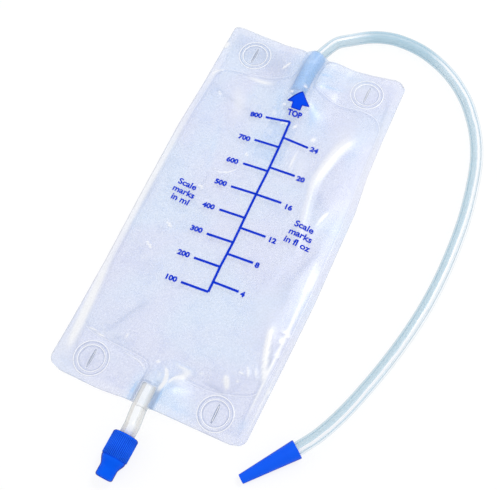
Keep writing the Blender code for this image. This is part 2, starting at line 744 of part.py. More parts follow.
def make_cap(frame):
    blue_cap = material("blue_cap", (0.02, 0.11, 0.86), 0.3)
    grip_end = GRIP_RADIUS - GRIP_DRAFT
    shoulder = []
    for share in (0.75, 0.5, 0.25):
        radius = NOZZLE_RADIUS + (grip_end - NOZZLE_RADIUS) * smooth_step(1 - share)
        shoulder.append((radius, GRIP_LENGTH + SHOULDER_LENGTH * share))
    section = [
        (NOZZLE_RADIUS - NOZZLE_EDGE, CAP_LENGTH),
        (NOZZLE_RADIUS - NOZZLE_EDGE * ROUND_MIDDLE, CAP_LENGTH - NOZZLE_EDGE * ROUND_MIDDLE),
        (NOZZLE_RADIUS, CAP_LENGTH - NOZZLE_EDGE),
        (NOZZLE_RADIUS, GRIP_LENGTH + SHOULDER_LENGTH),
        *shoulder,
        (grip_end, GRIP_LENGTH),
        (GRIP_RADIUS, RIM_EDGE),
        (GRIP_RADIUS - RIM_EDGE * ROUND_MIDDLE, RIM_EDGE * ROUND_MIDDLE),
        (GRIP_RADIUS - RIM_EDGE, 0),
        (WELL_RADIUS, 0),
        (WELL_RADIUS, CAM_START),
        (CAM_BORE_RADIUS, CAM_START),
        (CAM_BORE_RADIUS, CAM_END),
        (SEAL_BORE_RADIUS, CAM_END + 2 * GAP),
        (SEAL_BORE_RADIUS, SEAT_PLACE),
        (ORIFICE_RADIUS, SEAT_PLACE),
        (ORIFICE_RADIUS, SEAT_PLACE + SEAT_THICKNESS),
        (MOUTH_RADIUS, MOUTH_PLACE),
        (MOUTH_RADIUS, CAP_LENGTH),
    ]
    cap = turned("twist_cap", section, CAP_STEPS, PIECES, blue_cap, frame)
    end_play = GAP / LUG_RADIUS
    for number in range(LUG_COUNT):
        helical_bar(
            f"cam_groove_{number}",
            STEM_RADIUS,
            LUG_RADIUS + GAP,
            LUG_WIDTH + 2 * GAP,
            2 * math.pi * number / LUG_COUNT - CAM_TURN - end_play,
            LUG_ARC + CAM_TURN + 2 * end_play,
            lug_centre() - CAM_PITCH * number / LUG_COUNT,
            CAP_CUTTERS,
            frame,
        )
    bm = bmesh.new()
    flute_start = RIM_EDGE + FLUTE_END_INSET
    flute_end = GRIP_LENGTH - FLUTE_END_INSET
    middle = (flute_start + flute_end) / 2
    draft = GRIP_DRAFT / (GRIP_LENGTH - RIM_EDGE)
    surface = GRIP_RADIUS - draft * (middle - RIM_EDGE)
    centre = Vector((surface + FLUTE_RADIUS - FLUTE_DEPTH, 0, middle))
    lean = Matrix.Rotation(-math.atan(draft), 4, "Y")
    for number in range(GRIP_FLUTES):
        turn = Matrix.Rotation(2 * math.pi * number / GRIP_FLUTES, 4, "Z")
        bmesh.ops.create_cone(
            bm,
            cap_ends=True,
            segments=8,
            radius1=FLUTE_RADIUS,
            radius2=FLUTE_RADIUS,
            depth=flute_end - flute_start,
            matrix=turn @ Matrix.Translation(centre) @ lean,
        )
    flutes = mesh_from(bm, "grip_flutes", smooth=False)
    place("grip_flutes", flutes, CAP_CUTTERS, parent=frame)
    boolean(cap, "DIFFERENCE", CAP_CUTTERS)


make_buttonholes()
make_films()
make_reflux_leaves()
make_inlet()
make_connector()
make_outlet_tube()
VALVE = make_valve_frame()
make_stem(VALVE)
make_seals(VALVE)
make_cap(VALVE)
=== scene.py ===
import math

import bmesh
import bpy
import numpy as np
from mathutils import Matrix, Quaternion, Vector
from mathutils.bvhtree import BVHTree


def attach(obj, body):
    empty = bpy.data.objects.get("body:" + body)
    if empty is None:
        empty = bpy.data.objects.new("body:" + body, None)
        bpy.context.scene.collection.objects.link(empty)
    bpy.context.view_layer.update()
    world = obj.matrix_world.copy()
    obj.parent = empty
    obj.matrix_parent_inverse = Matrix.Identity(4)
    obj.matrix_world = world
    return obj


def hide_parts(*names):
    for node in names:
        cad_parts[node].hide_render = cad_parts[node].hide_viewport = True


# Urine leg bag of clear film, lying flat, with its tube in a loop and a blue twist valve.
# Bag coordinates: millimetres from the middle of the films, X across, Y up to the inlet.

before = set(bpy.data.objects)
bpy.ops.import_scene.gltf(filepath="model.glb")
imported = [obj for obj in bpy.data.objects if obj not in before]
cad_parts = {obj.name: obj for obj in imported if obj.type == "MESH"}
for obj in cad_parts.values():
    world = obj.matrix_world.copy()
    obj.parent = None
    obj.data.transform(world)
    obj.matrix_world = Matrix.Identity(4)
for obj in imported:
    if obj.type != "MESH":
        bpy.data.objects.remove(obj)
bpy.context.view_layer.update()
mm = 0.001
bagMiddle = np.array((0, 24.742, 0))  # the films' middle, from the part's origin

# Camera and stage

camera = dict(
    spot=(0.14124, -0.19907, 0.55096),
    lookAt=(0.01501, 0.00905, 0.0),
    roll=math.radians(-7.106),
    lens=64.474,
)


def addCamera():
    data = bpy.data.cameras.new("camera")
    data.lens = camera["lens"]
    data.clip_end = 20
    obj = bpy.data.objects.new("camera", data)
    bpy.context.scene.collection.objects.link(obj)
    obj.location = camera["spot"]
    look = Vector(camera["lookAt"]) - obj.location
    obj.rotation_mode = "QUATERNION"
    turn = Quaternion((0, 0, 1), camera["roll"])
    obj.rotation_quaternion = look.to_track_quat("-Z", "Y") @ turn
    bpy.context.scene.camera = obj


addCamera()
bpy.context.scene.view_settings.view_transform = "Standard"
bpy.context.scene.cycles.transparent_max_bounces = 40
print("camera placed")

# Small helpers: nodes, meshes, lines


def addNode(tree, kind, inputs=None, **settings):
    node = tree.nodes.new(kind)
    for name, value in settings.items():
        setattr(node, name, value)
    for socket, value in (inputs or {}).items():
        if isinstance(value, bpy.types.NodeSocket):
            tree.links.new(value, node.inputs[socket])
        else:
            node.inputs[socket].default_value = value
    return node


def feed(tree, node, values):
    for socket, value in values.items():
        tree.links.new(value, node.inputs[socket])


def sums(tree, operation, *values):
    inputs = dict(enumerate(values))
    return addNode(tree, "ShaderNodeMath", inputs, operation=operation).outputs[0]


def times(tree, first, second):
    return sums(tree, "MULTIPLY", first, second)


def largest(tree, value, *others):
    for other in others:
        value = sums(tree, "MAXIMUM", value, other)
    return value


# What a mask leaves when it takes its share away
def without(tree, mask, share=1.0):
    return sums(tree, "SUBTRACT", 1.0, times(tree, mask, share))


def blendColors(tree, share, first, second):
    first, second = [(*tone, 1) if isinstance(tone, tuple) else tone for tone in (first, second)]
    inputs = {0: share, 6: first, 7: second}
    return addNode(tree, "ShaderNodeMix", inputs, data_type="RGBA").outputs[2]


def ramp(tree, value, low, high, start=0.0, end=1.0):
    inputs = {0: value, 1: low, 2: high, 3: start, 4: end}
    return addNode(tree, "ShaderNodeMapRange", inputs, interpolation_type="SMOOTHSTEP").outputs[0]


# A value that drifts from low to high with a noise, which itself stays near its middle
def drift(tree, unevenness, low, high):
    return ramp(tree, unevenness, 0.3, 0.7, low, high)


def noise(tree, scale, detail=2.0, distortion=0.0):
    place = tree.nodes.new("ShaderNodeTexCoord").outputs["Object"]
    inputs = {"Vector": place, "Scale": scale, "Detail": detail, "Distortion": distortion}
    return addNode(tree, "ShaderNodeTexNoise", inputs).outputs[0]


def storedValue(tree, title):
    return addNode(tree, "ShaderNodeAttribute", attribute_name=title).outputs["Fac"]


# 0 where the surface faces the eye, towards 1 where it turns away
def turnedAway(tree, blend=0.5):
    return addNode(tree, "ShaderNodeLayerWeight", {"Blend": blend}).outputs["Facing"]


def addBump(tree, node, height, strength, depth):
    inputs = {"Strength": strength, "Distance": depth, "Height": height}
    feed(tree, node, {"Normal": addNode(tree, "ShaderNodeBump", inputs).outputs[0]})


def mixSurface(tree, share, first, second, output="Material Output"):
    inputs = {0: share, 1: first.outputs[0], 2: second.outputs[0]}
    mixed = addNode(tree, "ShaderNodeMixShader", inputs).outputs[0]
    feed(tree, tree.nodes[output], {"Surface": mixed})


# A node group from the names and kinds of its sockets
def newGroup(name, inputs, outputs, kind="ShaderNodeTree"):
    group = bpy.data.node_groups.new(name, kind)
    for side, sockets in (("INPUT", inputs), ("OUTPUT", outputs)):
        for title, socket in sockets.items():
            group.interface.new_socket(title, in_out=side, socket_type="NodeSocket" + socket)
    return group, group.nodes.new("NodeGroupInput").outputs, group.nodes.new("NodeGroupOutput")


def newMaterial(name, **shader):
    sockets = {"ior": "IOR", "specular": "Specular IOR Level", "roughness": "Roughness"}
    material = bpy.data.materials.new(name)
    material.use_nodes = True
    node = material.node_tree.nodes["Principled BSDF"]
    for title, value in shader.items():
        node.inputs[sockets[title]].default_value = value
    return material, material.node_tree, node


def toPart(points):
    return [Vector((point + bagMiddle) * mm) for point in np.asarray(points, float)]


def addObject(name, data, *finishes):
    obj = bpy.data.objects.new(name, data)
    bpy.context.scene.collection.objects.link(obj)
    for finish in finishes:
        data.materials.append(finish)
    return obj


def evaluatedMesh(obj):
    graph = bpy.context.evaluated_depsgraph_get()
    return bpy.data.meshes.new_from_object(obj.evaluated_get(graph), depsgraph=graph)


# What the modifiers give becomes the object's own mesh
def applyModifiers(obj):
    mesh = evaluatedMesh(obj)
    mesh.name = obj.name
    obj.modifiers.clear()
    obj.data = mesh
    return obj


# A sheet through rows of places, in bag coordinates, with some of its cells cut out
def sheetMesh(name, x, y, z, cut=()):
    down, across = x.shape
    faces = [
        (spot, spot + 1, spot + across + 1, spot + across)
        for row in range(down - 1)
        for spot in range(row * across, row * across + across - 1)
        if spot not in cut
    ]
    mesh = bpy.data.meshes.new(name)
    mesh.from_pydata(toPart(np.stack([x.ravel(), y.ravel(), z.ravel()], 1)), [], faces)
    mesh.shade_smooth()
    return mesh


# Values at a mesh's corners, for its material to read
def keepFields(mesh, **fields):
    for title, values in fields.items():
        attribute = mesh.attributes.new(title, "FLOAT", "POINT")
        attribute.data.foreach_set("value", values.ravel().astype(np.float32))


def smoothStep(share):
    share = np.clip(share, 0, 1)
    return share * share * (3 - 2 * share)


def smoothLine(points, samples):
    points = np.array(points, float)
    ends = np.vstack([2 * points[0] - points[1], points, 2 * points[-1] - points[-2]])
    line = []
    for before, first, second, after in zip(ends, ends[1:], ends[2:], ends[3:]):
        for t in np.arange(samples) / samples:
            bend = (2 * before - 5 * first + 4 * second - after) * t * t
            swing = (3 * first - before - 3 * second + after) * t**3
            line.append(0.5 * (2 * first + (second - before) * t + bend + swing))
    return np.array([*line, points[-1]])


# Distance to a line, and how far along it the nearest place is, from 0 to 1
def nearestOnLine(x, y, line):
    best = np.full(x.shape, 1e9)
    where = np.zeros(x.shape)
    count = len(line) - 1
    for number, (start, end) in enumerate(zip(line[:-1], line[1:])):
        step = end[:2] - start[:2]
        if not step.any():
            continue
        along = ((x - start[0]) * step[0] + (y - start[1]) * step[1]) / (step @ step)
        along = np.clip(along, 0, 1)
        gap = np.hypot(x - start[0] - along * step[0], y - start[1] - along * step[1])
        nearer = gap < best
        best = np.where(nearer, gap, best)
        where = np.where(nearer, (number + along) / count, where)
    return best, where


def insideLoop(x, y, loop):
    inside = np.zeros(x.shape, bool)
    for (x1, y1), (x2, y2) in zip(loop, np.roll(loop, -1, axis=0)):
        if y1 != y2:
            crosses = ((y1 > y) != (y2 > y)) & (x < (x2 - x1) * (y - y1) / (y2 - y1) + x1)
            inside ^= crosses
    return inside


# Shared finishes: soft unevenness of moulded plastic, and a line mask on a distance


def makeMouldedGroup():
    scales = {"Grain Scale": "Float", "Flow Scale": "Float"}
    masks = {"Tone": "Float", "Height": "Float", "Wear": "Float"}
    group, given, result = newGroup("mouldedSurface", scales, masks)
    flow = noise(group, given["Flow Scale"], 3.0)
    grain = noise(group, given["Grain Scale"])
    height = sums(group, "ADD", times(group, flow, 0.6), times(group, grain, 0.4))
    edges = group.nodes.new("ShaderNodeNewGeometry").outputs["Pointiness"]
    feed(group, result, {"Tone": flow, "Height": height, "Wear": ramp(group, edges, 0.50, 0.62)})
    return group


def makeLineGroup():
    sizes = dict.fromkeys(("Distance", "Middle", "Half Width", "Softness"), "Float")
    group, given, result = newGroup("lineMask", sizes, {"Mask": "Float"})
    away = sums(group, "ABSOLUTE", sums(group, "SUBTRACT", given["Distance"], given["Middle"]))
    end = sums(group, "ADD", given["Half Width"], given["Softness"])
    feed(group, result, {"Mask": ramp(group, away, given["Half Width"], end, 1.0, 0.0)})
    return group


mouldedGroup = makeMouldedGroup()
lineGroup = makeLineGroup()


def mouldedSurface(tree, grain, flow):
    inputs = {"Grain Scale": grain, "Flow Scale": flow}
    return addNode(tree, "ShaderNodeGroup", inputs, node_tree=mouldedGroup).outputs


def lineMask(tree, distance, middle, halfWidth, softness):
    inputs = {0: distance, 1: middle, 2: halfWidth, 3: softness}
    return addNode(tree, "ShaderNodeGroup", inputs, node_tree=lineGroup).outputs[0]


# Shadow rays pass, so that the lamps light what lies behind a clear wall
def letLampsThrough(tree, node):
    isShadow = tree.nodes.new("ShaderNodeLightPath").outputs["Is Shadow Ray"]
    mixSurface(tree, isShadow, node, tree.nodes.new("ShaderNodeBsdfTransparent"))


moulding = dict(
    grain=2500.0,
    flow=160.0,
    paler=1.25,  # colour of worn edges, and how much of it shows
    lift=0.03,
    wear=0.5,
    # Where the painted shade outline starts and ends, by how far the surface turns away
    outlineStart=0.48,
    outlineEnd=0.78,
    depth=0.00005,  # of the bump, in metres
)


# A moulded finish: tone, worn edges, roughness and a faint bump from the shared group, and painted
# shade as a dark outline where the surface turns away
def mouldedMaterial(name, color, deep, rough, bump, grain=None, outline=None, **shader):
    material, tree, node = newMaterial(name, **shader)
    surface = mouldedSurface(tree, grain or moulding["grain"], moulding["flow"])
    pale = tuple(min(1, share * moulding["paler"] + moulding["lift"]) for share in color)
    tone = blendColors(tree, surface["Tone"], color, deep)
    tone = blendColors(tree, times(tree, surface["Wear"], moulding["wear"]), tone, pale)
    if outline:
        edge = ramp(tree, turnedAway(tree), moulding["outlineStart"], moulding["outlineEnd"])
        tone = blendColors(tree, edge, tone, outline)
    rough = drift(tree, surface["Tone"], rough - 0.04, rough + 0.06)
    feed(tree, node, {"Base Color": tone, "Roughness": rough})
    addBump(tree, node, surface["Height"], strength=bump, depth=moulding["depth"])
    return material


# Hoses: a wall along a path, made with Geometry Nodes


def newTree(name, sizes):
    sockets = {"Geometry": "Geometry", **sizes, "Finish": "Material"}
    return newGroup(name, sockets, {"Geometry": "Geometry"}, "GeometryNodeTree")


def endTree(tree, shape, given, result):
    real = addNode(tree, "GeometryNodeRealizeInstances", {0: shape}).outputs[0]
    smooth = addNode(tree, "GeometryNodeSetShadeSmooth", {"Geometry": real}).outputs[0]
    inputs = {"Geometry": smooth, "Material": given["Finish"]}
    feed(tree, result, {0: addNode(tree, "GeometryNodeSetMaterial", inputs).outputs[0]})


def makeHoseTree():
    tree, given, result = newTree("hoseAlongPath", {"Radius": "Float", "Sides": "Int"})
    inputs = {"Resolution": given["Sides"], "Radius": given["Radius"]}
    ring = addNode(tree, "GeometryNodeCurvePrimitiveCircle", inputs).outputs[0]
    inputs = {0: given["Geometry"], 1: ring}
    hose = addNode(tree, "GeometryNodeCurveToMesh", inputs).outputs[0]
    endTree(tree, hose, given, result)
    return tree


hoseTree = makeHoseTree()


def setTreeInputs(modifier, values):
    for item in modifier.node_group.interface.items_tree:
        if item.in_out == "INPUT" and item.name in values:
            modifier[item.identifier] = values[item.name]


def addHose(name, path, radius, wall, finish, sides=40, bore=None):
    curve = bpy.data.curves.new(name + "Path", "CURVE")
    curve.dimensions = "3D"
    spline = curve.splines.new("POLY")
    spline.points.add(len(path) - 1)
    for point, place in zip(spline.points, toPart(path)):
        point.co = (*place, 1)
    liner = addObject(name + "Path", curve)
    hose = liner.modifiers.new("hose", "NODES")
    hose.node_group = hoseTree
    setTreeInputs(hose, {"Radius": radius * mm, "Sides": sides, "Finish": finish})
    mesh = evaluatedMesh(liner)
    bpy.data.objects.remove(liner, do_unlink=True)
    spots = np.array([vert.co for vert in mesh.vertices]) / mm - bagMiddle
    places = np.array(path)
    nearest = np.argmin(np.linalg.norm(spots[:, None] - places[None], axis=2), axis=1)
    ways = np.gradient(places, axis=0)[nearest]
    left = np.stack([-ways[:, 1], ways[:, 0]], 1) / np.hypot(ways[:, 0], ways[:, 1])[:, None]
    # outward sets where the painted shade and painted highlight fall across the tube, shifted towards
    # the side that faces the bag's top
    outward = ((spots - places[nearest])[:, :2] * left).sum(1) / radius + 0.4 * left[:, 1]
    keepFields(mesh, outward=outward, along=nearest / (len(places) - 1))
    bm = bmesh.new()
    bm.from_mesh(mesh)
    bmesh.ops.recalc_face_normals(bm, faces=bm.faces)
    bm.to_mesh(mesh)
    bm.free()
    obj = addObject(name, mesh)
    thick = obj.modifiers.new("wall", "SOLIDIFY")
    thick.thickness = wall * mm
    thick.offset = -1
    if bore:
        mesh.materials.append(bore)
        thick.material_offset = 1
    return applyModifiers(obj)


# A turned piece from its section of (radius, place along the axis), a closed loop in mm
def addTurned(name, section, start, along, finish, steps, bevel):
    along = Vector(along).normalized()
    across = along.orthogonal().normalized()
    start = toPart([start])[0]
    bm = bmesh.new()
    rings = []
    for radius, place in section:
        spot = start + along * place * mm
        turns = [Quaternion(along, 2 * math.pi * step / steps) @ across for step in range(steps)]
        rings.append([bm.verts.new(spot + turn * radius * mm) for turn in turns])
    for ring, other in zip(rings, rings[1:] + rings[:1]):
        for step in range(steps):
            after = (step + 1) % steps
            bm.faces.new((ring[step], ring[after], other[after], other[step]))
    bmesh.ops.recalc_face_normals(bm, faces=bm.faces)
    mesh = bpy.data.meshes.new(name)
    bm.to_mesh(mesh)
    bm.free()
    mesh.shade_smooth()
    sharp = math.radians(40)
    mesh.set_sharp_from_angle(angle=sharp)
    obj = addObject(name, mesh, finish)
    edges = obj.modifiers.new("edges", "BEVEL")
    edges.width = bevel * mm
    edges.segments = 3
    edges.limit_method = "ANGLE"
    edges.angle_limit = sharp
    return applyModifiers(obj)


# Inlet tube and its connector. The route repeats the one in the part's source.

inletTube = dict(
    radius=4.5,
    wall=1.25,
    inside=((-1.0, 110.8, 7.05), (-1.0, 117.0, 7.05), (-1.0, 123.271, 7.05)),
    route=(
        (7.8, 154.6, 6.4),
        (17, 162.7, 5.6),
        (28.9, 171, 4.9),
        (40, 175.2, 4.6),
        (51, 176.4, 4.6),
        (67.6, 174.4, 4.6),
        (84.8, 167.5, 4.6),
        (99.5, 157.8, 4.6),
        (112.4, 144.9, 4.6),
        (122.4, 130.2, 4.6),
        (129.3, 116.4, 4.6),
        (134.5, 101, 4.6),
        (138.5, 80, 4.6),
        (141.2, 56, 4.6),
        (141.9, 31, 4.6),
        (141, 6, 4.6),
        (138.1, -19.4, 4.6),
        (133, -45, 4.6),
        (126.2, -70.4, 4.7),
        (117.8, -95.7, 5.1),
        (109.2, -115, 5.7),
    ),
    exit=(1.0444, 138.8, 7.05),
    samples=5,
    length=0.466,
)
connector = dict(
    start=(100.2, -128.9, 0.0),
    heading=math.radians(-128.8),
    length=38.7,
    radius=6.15,
    rim=0.6,
    socketRadius=4.8,
    socket=12.0,
    stop=1.0,
    tipRadius=3.1,
    bore=2.1,
    boreLength=9.2,
)
port = dict(
    radius=5.9,
    wall=1.1,
    bend=math.radians(15),
    bendRadius=60.0,
    x=-1.0,
    innerY=104.0,
    bendY=123.271,
    height=7.05,
)


def portPath(steps=12):
    path = [(port["x"], y, port["height"]) for y in np.linspace(port["innerY"], port["bendY"], 8)]
    for step in range(1, steps + 1):
        turn = port["bend"] * step / steps
        across = port["bendRadius"] * (1 - math.cos(turn))
        along = port["bendRadius"] * math.sin(turn)
        path.append((port["x"] + across, port["bendY"] + along, port["height"]))
    return np.array(path)


def connectorAxis():
    narrowing = connector["radius"] - connector["tipRadius"]
    slope = math.atan(narrowing / (connector["length"] - connector["rim"]))
    across = math.cos(connector["heading"]) * math.cos(slope)
    down = math.sin(connector["heading"]) * math.cos(slope)
    height = connector["radius"] * math.cos(slope) + connector["rim"] * math.sin(slope)
    start = np.array(connector["start"]) + (0, 0, height)
    return start, np.array((across, down, -math.sin(slope)))


def tubePath():
    start, along = connectorAxis()
    bent = [place for place in portPath() if place[1] > inletTube["inside"][-1][1] + 0.1]
    ends = start - along * connector["rim"], start + along * (connector["socket"] - 0.3)
    loop = smoothLine([bent[-1], *inletTube["route"], ends[0]], inletTube["samples"])
    return np.array([*inletTube["inside"], *bent, *loop[1:], ends[1]])


# Painted shade and painted highlight band of the tubing
tubing = dict(
    roughness=0.18,
    outline=(0.46, 0.80),  # from, to: how far the wall turns away
    bend=(-0.30, 0.30),  # painted shade from the inner to the outer side
    startLength=0.1,
    startDrop=0.17,  # how much lower the painted highlight band lies there
    startWall=(0.52, 0.72, 0.8),  # from, to and depth of the painted shade beside it
    bandSoftness=0.16,
    dull=(0.055, 0.06),  # half length and softness of the stretch with no painted highlight band
    dullShade=0.8,
    dullCover=0.18,
    dullBand=0.85,
    clearer=(0.70, 0.12, 0.08),  # middle, half length and softness of a clearer stretch
    clearerShare=0.5,
    fade=(0.2, 0.4),  # after the start, the outer side turns clearer
    fadeSide=(0.4, 0.7),
    fadeShare=0.45,
    backWall=0.25,
    paintedHighlightColor=(0.97, 0.985, 1.0),
)


# Clear or milky tubing: painted shade on the inner side of its bend, a painted highlight as a bright
# band near its middle, and fine dark outlines. Places along it run from 0 at its start to 1 at its
# end.
def makeTubeFinish(name, look):
    covers, band = look["covers"], look["band"]
    material, tree, node = newMaterial(name, ior=1.45, roughness=tubing["roughness"])
    surface = mouldedSurface(tree, grain=900.0, flow=60.0)
    along = storedValue(tree, "along")
    geometry = tree.nodes.new("ShaderNodeNewGeometry").outputs
    uneven = drift(tree, surface["Tone"], -0.05, 0.05)
    side = sums(tree, "ADD", storedValue(tree, "outward"), uneven)
    front = without(tree, geometry["Backfacing"])
    edge = ramp(tree, turnedAway(tree), *tubing["outline"])
    clearer = lineMask(tree, along, *tubing["clearer"])
    gone = lineMask(tree, along, band["dull"], *tubing["dull"])
    start = ramp(tree, along, band["start"], band["start"] + tubing["startLength"], 1.0, 0.0)
    wallStart, wallEnd, wallShade = tubing["startWall"]
    wall = times(tree, times(tree, start, ramp(tree, side, wallStart, wallEnd)), wallShade)
    # Painted shade: the inner side of the bend, the upper wall near the start, and the dull stretch
    away = ramp(tree, side, *tubing["bend"], 1.0, 0.0)
    away = largest(tree, away, wall, times(tree, gone, tubing["dullShade"]))
    faded = ramp(tree, along, *(band["start"] + after for after in tubing["fade"]))
    faded = times(tree, faded, ramp(tree, side, *tubing["fadeSide"]))
    upward = addNode(tree, "ShaderNodeSeparateXYZ", {0: geometry["Normal"]}).outputs["Z"]
    # Painted highlight: a bright band along the tube, only where it faces up and not on the dull
    # stretch
    place = sums(tree, "SUBTRACT", band["place"], times(tree, start, tubing["startDrop"]))
    glare = lineMask(tree, side, place, band["width"], tubing["bandSoftness"])
    glare = times(tree, glare, ramp(tree, upward, 0.0, 0.3))
    glare = times(tree, glare, without(tree, gone, tubing["dullBand"]))
    color = blendColors(tree, away, look["pale"], look["shade"])
    color = blendColors(tree, edge, color, look["outline"])
    color = blendColors(tree, glare, color, tubing["paintedHighlightColor"])
    paleCover = times(tree, covers["pale"], without(tree, clearer, tubing["clearerShare"]))
    cover = ramp(tree, away, 0.0, 1.0, paleCover, covers["shade"])
    cover = sums(tree, "ADD", cover, times(tree, gone, tubing["dullCover"]))
    lines = times(tree, edge, covers["outline"]), times(tree, glare, covers["band"])
    cover = times(tree, largest(tree, cover, *lines), without(tree, faded, tubing["fadeShare"]))
    cover = times(tree, cover, largest(tree, front, tubing["backWall"]))
    feed(tree, node, {"Base Color": color, "Alpha": cover})
    addBump(tree, node, surface["Height"], strength=0.08, depth=0.0001)
    letLampsThrough(tree, node)
    return material


# The bore's wall shows only where it turns away from the eye, as a fine dark line
def makeBoreFinish(name, color, cover):
    material, tree, node = newMaterial(name, roughness=0.3)
    node.inputs["Base Color"].default_value = (*color, 1)
    feed(tree, node, {"Alpha": ramp(tree, turnedAway(tree), 0.35, 0.85, 0.05, cover)})
    letLampsThrough(tree, node)
    return material


# Clear tube: colours of its painted shade and pale side, outline, and the painted highlight band
clearTube = dict(
    shade=(0.27, 0.52, 0.66),
    pale=(0.45, 0.71, 0.90),
    outline=(0.30, 0.48, 0.58),
    covers=dict(pale=0.42, shade=0.47, outline=0.54, band=0.92),
    band=dict(place=0.24, width=0.11, dull=0.30, start=0.12),
)


def makeInletTube():
    path = tubePath()
    outer = makeTubeFinish("clearTube", clearTube)
    bore = makeBoreFinish("clearTubeBore", (0.15, 0.34, 0.47), 0.50)
    tube = addHose("inletTube", path, inletTube["radius"], inletTube["wall"], outer, 48, bore)
    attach(tube, "bag")
    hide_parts("inlet_tube")
    return tube, path


def makeConnector():
    # outline: the colour of the painted shade where the connector turns away
    look = dict(outline=(0.0, 0.04, 0.55), specular=0.1)
    blues = (0.0, 0.115, 0.97), (0.0, 0.095, 0.90)
    finish = mouldedMaterial("bluePlastic", *blues, rough=0.4, bump=0.08, **look)
    start, along = connectorAxis()
    tip, rim, length = connector["tipRadius"], connector["rim"], connector["length"]
    section = (
        (tip, length),
        (connector["radius"], rim),
        (connector["radius"] - 0.2 * rim, 0.25 * rim),
        (connector["radius"] - rim, 0),
        (connector["socketRadius"], 0),
        (connector["socketRadius"], connector["socket"]),
        (connector["socketRadius"] - connector["stop"], connector["socket"]),
        (connector["bore"], length - connector["boreLength"]),
        (connector["bore"], length),
    )
    obj = addTurned("catheterConnector", section, start, along, finish, steps=72, bevel=0.25)
    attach(obj, "bag")
    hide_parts("catheter_connector")
    return obj


tubeObject, tubePlaces = makeInletTube()
connectorObject = makeConnector()
steps = np.linalg.norm(np.diff(tubePlaces, axis=0), axis=1)
print(f"inlet tube and connector made, {steps.sum():.1f} mm of tube")

# Films: two sheets welded round the pouch, standing round the port and the outlet tube

film = dict(
    top=144.0,
    bottom=-144.0,
    thickness=0.3,
    gap=0.3,
    topCorner=3.0,
    bottomCorner=8.0,
    edgeZone=13.0,
    liftReach=30.4,
    pouchRise=3.0,
    pouchSlope=20.0,
    inletChannel=6.75,
    outletChannel=5.45,
    inletFade=25.0,
    outletInnerY=-130.5,
    outletFade=22.0,
    weldRidge=0.14,
    ringX=44.5,
    ringY=(125.5, -129.0),
    ringMiddle=10.4,
    ringWidth=1.5,
    ringHeight=0.3,
    slit=(12.5, 0.55),
    header=dict(fade=6, height=0.55, ripple=0.5, size=46, seed=11, tubeRoom=12, full=100),
    pouchWaves=((0.28, 38, 5), (0.10, 15, 8)),  # height, size and seed
    waveFade=8,
    weldWidth=0.9,
    portShine=dict(start=76, fade=55, width=15, strength=0.9),  # blue seen through the film
    outletShine=dict(start=-104, fade=-22, x=7, width=13, strength=0.5),
    halfWidth=70.0,
    sideStart=60.0,  # the side edges' shape is taken up from here outwards
    nearRing=12.9,  # finer grid round each ring, slit and tube
    nearSlit=2.2,
    nearTube=11,
    leftEdge=(
        (-144, -69.8), (-110, -69.2), (-66, -69.2), (-12, -70.4), (49, -71.1), (90, -69.6),
        (144, -68.9),
    ),
    rightEdge=(
        (-144, 69.4), (-113, 70.2), (-81, 71.4), (-38, 72.6), (0, 72.3), (34, 72.2), (63, 69.4),
        (100, 68.6), (144, 68.2),
    ),
    topEdge=(
        (-70, 144.6), (-61, 144.9), (-45, 143.8), (-33, 143.4), (-23, 142.6), (-12, 140.4),
        (-6, 138.6), (0, 138.0), (6, 137.6), (9, 137.4), (14, 139.2), (20, 140.2), (27, 141.2),
        (34, 141.9), (44, 142.8), (59, 145.2), (66, 144.6), (70, 142.0),
    ),
    bottomEdge=(
        (-70, -143.4), (-59, -144.3), (-33, -145.0), (-8, -144.0), (5, -143.8), (25, -142.8),
        (56, -142.7), (70, -142.5),
    ),
)
ringPlaces = [(side * film["ringX"], y) for y in film["ringY"] for side in (-1, 1)]
outlet = dict(radius=5.15, wall=1.6, height=5.75, straight=2.0)
pouchLine = (
    (-65.4, 85), (-64.6, 97), (-62.6, 104), (-56, 107.2), (-45, 108.8), (-32, 110.6),
    (-18, 112.8), (-11.4, 115.6), (-8.9, 120.4), (-8.2, 130), (-7.6, 150), (8.6, 150), (7.3, 130),
    (6.7, 122.4), (8.0, 115.8), (13, 112.5), (30, 109.7), (46, 111.6), (57, 109.6), (62.3, 104),
    (64.2, 96), (65, 60), (67.4, 30), (67.9, -5), (68.1, -40), (67.0, -80), (65.2, -100),
    (61.5, -108.6), (54, -112.6), (46, -115), (36, -117.6), (22, -117.8), (13.8, -117),
    (9.6, -121), (7.3, -127), (6.5, -150), (-6.5, -150), (-7.2, -125), (-8.4, -119.4),
    (-12, -116.3), (-20, -115), (-34, -114.4), (-52, -113.2), (-59.5, -109.8), (-63.6, -103),
    (-64.6, -90), (-65, -60), (-66, -12), (-66.7, 49),
)
